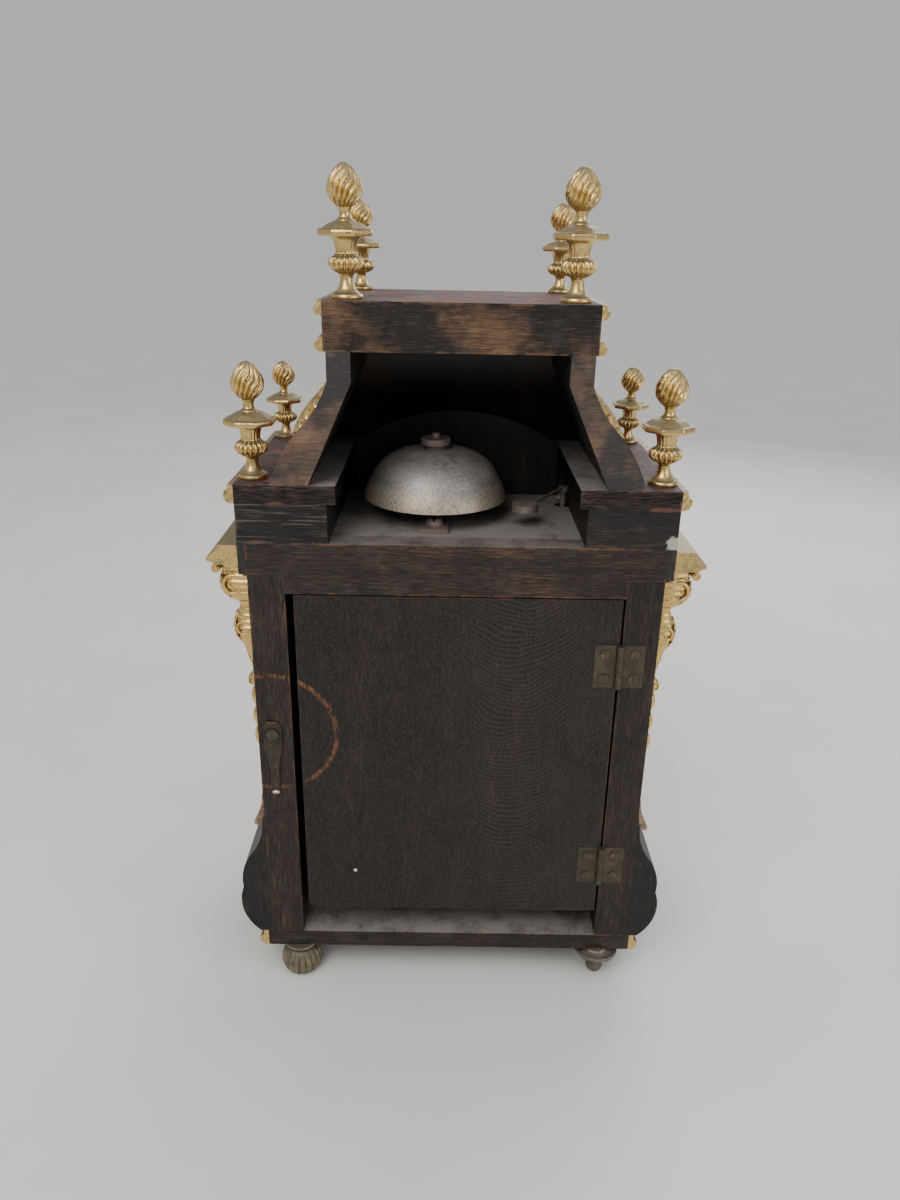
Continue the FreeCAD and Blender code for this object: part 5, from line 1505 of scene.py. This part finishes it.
@dataclass
class TurnLatch:
    """Flat turn latch with a chamfered head, a tapering tail and a bright rolled tip.

    Attributes:
        seat: place along Y of its under-face.
        thick: thickness of the plate.
        hole: radius of the screw's hole.
        bevel: width of the bevel round the upper face.
        outline: half-widths and heights over the pivot, from the tail's end to the head.
        roll: radius of the rolled tip.
    """

    seat: float = REAR + 0.2
    thick: float = 1.6
    hole: float = 1.95
    bevel: float = 0.35
    outline: Points = ((2.9, -45.4), (2.9, -41.0), (3.0, -27.0), (4.2, -18.5), (6.15, -11.5), (6.15, 5.2),
                       (3.7, 9.0))
    roll: float = 1.5

    def rim(self, inset: float) -> np.ndarray:
        """Points round the plate.

        Args:
            inset: how far they lie inside the outline.

        Returns:
            Points (aside, up) round the pivot.
        """
        half = np.array(self.outline)
        line = np.concatenate([half, half[::-1] * (-1, 1), half[:1]])
        run = np.linspace(0, len(line) - 1, 8 * (len(line) - 1), endpoint=False)
        points = np.stack([np.interp(run, np.arange(len(line)), part) for part in line.T], axis=1)
        return points * (1 - inset / np.abs(points).max(axis=1, keepdims=True))

    def at(self, points: np.ndarray, over: float) -> np.ndarray:
        """Points (aside, up) at a height over the seat, on the clock."""
        depth = np.full(len(points), self.seat + over)
        return np.stack([LATCH_PIVOT[0] + points[:, 0], depth, LATCH_PIVOT[1] + points[:, 1]], axis=1)

    def build(self, plate: bpy.types.Material, tip: bpy.types.Material) -> None:
        """Build the latch in place of its CAD node.

        Args:
            plate: finish of the plate.
            tip: finish of its rubbed tip.
        """
        edge, lip = self.rim(0.0), self.rim(self.bevel)
        ring = edge / np.linalg.norm(edge, axis=1)[:, None] * self.hole
        rows = [(ring, 0.0), (edge, 0.0), (edge, self.thick - self.bevel), (lip, self.thick),
                (ring, self.thick), (ring, 0.0)]
        surface = Surface()
        surface.skin(np.array([self.at(points, over) for points, over in rows]), capped=False)
        made = surface.piece("latch_plate", plate, "latch", 30.0)
        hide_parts("turn_latch")
        across = np.linspace(-1, 1, 15)
        wide, low = self.outline[0]
        line = self.at(np.stack([across * (wide - 0.3), np.full(15, low)], axis=1), self.thick * 0.75)
        surface = Surface()
        surface.tube(line, self.roll * (0.35 + 0.65 * np.sqrt(1 - across**2 * 0.96)), 20)
        made = surface.piece("latch_tip", tip, "latch", 60.0)


@dataclass
class Casework:
    """Wood of the case, roof and doors.

    Attributes:
        chip: place of the pale chip on the frieze.
        dot: place along X and Z of the pale spot on the back door.
        roof_foot: distance from the middle from which the ledges are veneered.
    """

    chip: Place = (-133.0, REAR, 343.0)
    dot: tuple[float, float] = (67.7, 94.7)
    roof_foot: float = 113.0

    def finishes(self) -> dict[str, WoodFinish]:
        """Finish of every wooden node.

        Returns:
            Finishes by the names of the nodes.
        """
        oak = {"dark": (0.0068, 0.0053, 0.0047), "brown": (0.031, 0.0195, 0.0142)}
        across = {"grain": Grain.ACROSS}
        dim_shell = ((0.012, 0.007, 0.007), (0.055, 0.019, 0.015), (0.12, 0.042, 0.028))
        return {
            "hinge_stile": RubbedWood("hinge_stile_oak", **oak, thin=0.36, edge=0.5),
            "latch_stile": RubbedWood("latch_stile_oak", **oak, thin=0.46, edge=0.8),
            "back_top_rail": WoodFinish("rail_oak", **oak, **across, thin=0.55, dust=0.75),
            "base_board": WoodFinish("base_oak", **oak, **across, thin=0.36, edge=0.7, dust=1.1),
            "top_board": WoodFinish("top_oak", **oak, **across, thin=0.3, dust=1.35, edge=0.0),
            # The door's worn edges are partly real wear and partly a painted highlight along its edge.
            "back_door": RubbedWood(
                "door_oak", dark=(0.0050, 0.0037, 0.0034), brown=(0.0145, 0.0095, 0.0076), thin=0.4,
                worn=(0.09, 0.04, 0.02), figure=0.62, flecks=0.5, dot=self.dot, edge=0.7, gloss=0.46,
                furrow=0.12, dust=0.15),
            "case_sides": VeneeredWood(
                "side_veneer", dark=(0.005, 0.0042, 0.0042), brown=(0.030, 0.018, 0.013), thin=0.25,
                dust=0.4, frontal=True),
            "bombe_blocks": WoodFinish(
                "bombe_ebony", dark=(0.0055, 0.0052, 0.0052), brown=(0.017, 0.0135, 0.012), thin=0.28,
                worn=(0.10, 0.066, 0.045), furrow=0.1, gloss=0.44, dust=0.5),
            "frieze_blocks": ScoredWood(
                "frieze_ebony", dark=(0.0055, 0.0052, 0.0055), brown=(0.016, 0.0125, 0.0115), **across,
                thin=0.4, worn=(0.15, 0.075, 0.05), furrow=0.5, chip=self.chip),
            "ledge_boards": VeneeredWood(
                "ledge_ebony", dark=(0.012, 0.0105, 0.0105), brown=(0.035, 0.026, 0.024), **across,
                thin=0.45, worn=(0.22, 0.09, 0.07), dust=1.2, edge=1.4, upward=True, beyond=self.roof_foot,
                film=0.4, polish=0.5, shine=0.1, shell=dim_shell),
            "roof_panels": VeneeredWood(
                "roof_veneer", dark=(0.018, 0.015, 0.015), brown=(0.078, 0.046, 0.030), **across, thin=0.66,
                worn=(0.19, 0.105, 0.055), edge=0.0, dust=0.5, mottle=0.85),
            "arch_board": WoodFinish(
                "arch_oak", dark=(0.0035, 0.003, 0.0029), brown=(0.014, 0.010, 0.008), thin=0.2, dust=0.2,
                edge=0.0),
            "crown": VeneeredWood(
                "crown_veneer", dark=(0.020, 0.017, 0.016), brown=(0.070, 0.044, 0.030), **across, thin=0.62,
                worn=(0.18, 0.10, 0.055), dust=0.8, upward=True, film=0.95, polish=0.5, shine=0.12,
                mottle=0.8),
            "dial_battens": WoodFinish("batten_oak", **oak, thin=0.6, dust=0.3),
            "front_door": VeneeredWood(
                "front_veneer", dark=(0.006, 0.005, 0.0048), thin=0.25, dust=0.3, frontal=True),
        }

    def dress(self) -> None:
        """Give every wooden node its finish."""
        for node, finish in self.finishes().items():
            dress(finish.make(*box_mm(node)), node)


@dataclass
class Metalwork:
    """Gilt, brass and iron of the clock.

    Attributes:
        leaf_pitch: pitch of the leaves chased on the mouldings.
    """

    leaf_pitch: float = 9.0

    def dress(self) -> None:
        """Give every metal node its finish, and build the latch."""
        chased = GiltFinish("gilt_chased", wear=0.45, chased=self.leaf_pitch).make()
        dress(chased, "gilt_mouldings", "glass_bezel", "roof_leaves")
        dress(GiltFinish("gilt_slab", wear=0.6).make(), "cornice_slabs")
        dress(GiltFinish("gilt_hands", wear=0.25).make(), "hour_hand", "minute_hand")
        dark = MetalFinish("hinge_brass", (0.125, 0.098, 0.062), (0.052, 0.042, 0.031), age=0.6, polish=0.36)
        dress(dark.make(), "hinge_case_leaves", "hinge_door_leaves", "hinge_pins", "turn_latch")
        plate = MetalFinish("latch_brass", (0.11, 0.088, 0.066), (0.036, 0.030, 0.025), age=0.6, polish=0.4)
        tip = MetalFinish("latch_tip_brass", (0.62, 0.50, 0.44), (0.30, 0.24, 0.20), age=0.4, polish=0.26)
        TurnLatch().build(plate.make(), tip.make())
        iron = MetalFinish("screw_iron", (0.28, 0.245, 0.215), (0.115, 0.097, 0.084), age=0.6, polish=0.42,
                           metal=0.7)
        dress(iron.make(), "door_pivot_pins", "hammer_arbor", "hammer_head", "hammer_stop")
        rust = MetalFinish("stand_iron", (0.26, 0.205, 0.18), (0.13, 0.094, 0.083), age=0.6, polish=0.45,
                           metal=0.6)
        dress(rust.make(), "bell_stand", "bell_fixings")
        screw = MetalFinish("screw_brass", (0.16, 0.125, 0.085), (0.066, 0.052, 0.039), age=0.58,
                            polish=0.34)
        dress(screw.make(), "hinge_door_screws", "case_screws")
        steel = MetalFinish("train_steel", (0.42, 0.41, 0.40), (0.12, 0.10, 0.085), age=0.4, polish=0.24,
                            spun=True)
        dress(steel.make(), "going_winding_arbor", "strike_winding_arbor", "pallet_anchor", "pendulum_rod")
        brass = MetalFinish("train_brass", (0.62, 0.43, 0.17), (0.26, 0.17, 0.07), age=0.45, polish=0.28,
                            spun=True)
        dress(brass.make(), "going_barrel", "strike_barrel", "centre_wheel", "third_wheel", "escape_wheel",
              "pin_wheel", "fly", "minute_wheel", "hour_wheel", "front_plate", "back_plate", "plate_pillars",
              "movement_cocks", "pendulum_bob")
        low, high = drawn_mm("bell")
        dress(BellFinish("bell_metal", low[2], high[2]).make(), "bell")


@dataclass
class DialWork:
    """Dial, its ground, glass and numerals.

    Attributes:
        plaque: thickness of a plaque over the ring's face.
    """

    plaque: float = 1.0

    def dress(self) -> None:
        """Finish the dial's nodes and draw its numerals."""
        low, high = drawn_mm("chapter_ring")
        centre, face = (low[2] + high[2]) / 2, low[1]
        dress(DialFinish("chapter_gilt", centre, high[0], face + self.plaque).make(), "chapter_ring")
        dress(ClothGround("dial_ground").make(), "dial_plate")
        dress(GlassFinish("door_glass").make(), "door_glass")
        ink = MetalFinish("numeral_ink", (0.012, 0.013, 0.022), (0.03, 0.03, 0.045), age=0.4, polish=0.3,
                          metal=0.35)
        HourNumerals(centre, face).build(ink.make())


@dataclass
class GiltMounts:
    """Finials, feet, consoles and leaves.

    Attributes:
        rear: places of the rear finials.
        front: places of the front finials.
        feet: places of the fluted feet.
        odd_foot: place of the foot of another pattern.
    """

    rear: Sequence[Place] = (*mirrored((125.7, REAR - 18.0, LEDGE)), *mirrored((64.8, REAR - 13.0, CROWN)))
    front: Sequence[Place] = (*mirrored((125.7, REAR - 138.0, LEDGE)),
                              *mirrored((64.8, REAR - 100.7, CROWN)))
    feet: Sequence[Place] = ((110.4, REAR - 7.5, 0.0), *mirrored((110.4, REAR - 139.0, 0.0)))
    odd_foot: Place = (-110.4, REAR - 7.5, 0.0)

    def build(self) -> None:
        """Build every gilt mount."""
        gilt = GiltFinish("gilt_finial", wear=0.42).make()
        tall = Finials("rear_finials", "rear_flame_finials", radius=16.0, height=70.0, seats=self.rear)
        tall.build(gilt)
        low = Finials("front_finials", "front_flame_finials", radius=13.4, height=54.5, seats=self.front)
        low.build(gilt)
        dull = GiltFinish("gilt_foot", (0.27, 0.225, 0.14), (0.125, 0.112, 0.083), wear=0.66, polish=0.36)
        BunFeet(self.feet).build(dull.make())
        foot = MetalFinish("foot_brass", (0.25, 0.215, 0.175), (0.10, 0.088, 0.076), age=0.6, polish=0.36)
        SaucerFoot(self.odd_foot).build(foot.make())
        cast = GiltFinish("gilt_console", (0.67, 0.46, 0.17), wear=0.34).make()
        Consoles().build(cast)
        # The leaves over the bombe sides take a darker, redder gilding than the consoles.
        darker_tone = GiltFinish("gilt_leaf", (0.31, 0.20, 0.12), (0.13, 0.095, 0.075), wear=0.6).make()
        LeafMounts().build(cast, darker_tone)


@dataclass(frozen=True)
class Lamp:
    """One soft square light.

    Attributes:
        name: name of the light.
        spot: where it hangs, in metres.
        size: side of its square, in metres.
        power: power in watts.
        tint: colour of its light.
    """

    name: str
    spot: Place
    size: float
    power: float
    tint: Colour

    def hang(self, aim: Place) -> None:
        """Hang the light so that it points at a place.

        Args:
            aim: the place, in metres.
        """
        lamp = bpy.data.lights.new(self.name, "AREA")
        lamp.size = self.size
        lamp.energy = self.power
        lamp.color = self.tint
        made = bpy.data.objects.new(self.name, lamp)
        made.location = self.spot
        made.rotation_euler = (Vector(aim) - Vector(self.spot)).to_track_quat("-Z", "Y").to_euler()
        bpy.context.scene.collection.objects.link(made)


@dataclass
class Studio:
    """Pale floor, soft lights and the camera of the photograph.

    Attributes:
        eye: place of the camera in metres.
        pitch: how far it looks down, in degrees.
        yaw: how far it looks aside.
        roll: how far it leans.
        lens: focal length in millimetres.
        sensor: long side of the sensor in millimetres.
        near: distance in metres from which the camera sees.
        span: half of the floor's side, in metres.
        aim: what the lights point at.
        lamps: the soft lights.
        even_power: strength of the even light from above.
        even_spread: its spread in degrees.
        air: colour of the light all round.
        air_power: strength of that light.
    """

    eye: Place = (0.0062, REAR * MM + 0.5221, 0.5172)
    pitch: float = 22.2
    yaw: float = -0.278
    roll: float = 1.03
    lens: float = 27.0
    sensor: float = 36.0
    near: float = 0.01
    span: float = 14.0
    aim: Place = (0.0, 0.0, 0.26)
    lamps: Sequence[Lamp] = (
        Lamp("key", (0.55, 1.05, 1.35), 0.9, 17.0, (1.0, 0.97, 0.93)),
        Lamp("fill", (-1.1, 0.75, 0.75), 0.9, 6.0, (0.95, 0.97, 1.0)),
        Lamp("front", (-0.6, -1.3, 1.1), 1.0, 14.0, (1.0, 0.98, 0.95)))
    even_power: float = 1.15
    even_spread: float = 70.0
    air: Colour = (0.88, 0.88, 0.875)
    air_power: float = 0.6

    def floor(self) -> None:
        """Lay the floor."""
        mesh = bpy.data.meshes.new("studio_floor")
        corners = [(x * self.span, y * self.span, 0) for x, y in ((-1, -1), (1, -1), (1, 1), (-1, 1))]
        mesh.from_pydata(corners, [], [(0, 1, 2, 3)])
        mesh.materials.append(FloorFinish("floor_paper").make())
        made = bpy.data.objects.new("studio_floor", mesh)
        bpy.context.scene.collection.objects.link(made)

    def lights(self) -> None:
        """Hang the lamps, and add the even light from above and all round."""
        for lamp in self.lamps:
            lamp.hang(self.aim)
        sky = bpy.data.lights.new("even_light", "SUN")
        sky.energy = self.even_power
        sky.angle = math.radians(self.even_spread)
        bpy.context.scene.collection.objects.link(bpy.data.objects.new("even_light", sky))
        world = bpy.data.worlds.new("studio_air")
        bpy.context.scene.world = world
        world.use_nodes = True
        inputs = world.node_tree.nodes["Background"].inputs
        inputs["Color"].default_value = (*self.air, 1.0)
        inputs["Strength"].default_value = self.air_power

    def camera(self) -> None:
        """Stand the camera where the photograph was taken."""
        data = bpy.data.cameras.new("photo_camera")
        data.lens = self.lens
        data.sensor_width = self.sensor
        data.clip_start = self.near
        made = bpy.data.objects.new("photo_camera", data)
        pitch, yaw = math.radians(self.pitch), math.radians(self.yaw)
        ahead = Vector((math.sin(yaw) * math.cos(pitch), -math.cos(yaw) * math.cos(pitch), -math.sin(pitch)))
        lean = Matrix.Rotation(math.radians(self.roll), 3, "Z")
        made.rotation_euler = (ahead.to_track_quat("-Z", "Y").to_matrix() @ lean).to_euler()
        made.location = self.eye
        bpy.context.scene.collection.objects.link(made)
        bpy.context.scene.camera = made

    def build(self) -> None:
        """Set up floor, lights and camera."""
        self.floor()
        self.lights()
        self.camera()


def main() -> None:
    """Build and dress the clock, then set up the studio."""
    logging.basicConfig(level=logging.INFO, format="%(message)s")
    Studio().build()
    Casework().dress()
    Metalwork().dress()
    DialWork().dress()
    GiltMounts().build()


if __name__ == "__main__":
    main()
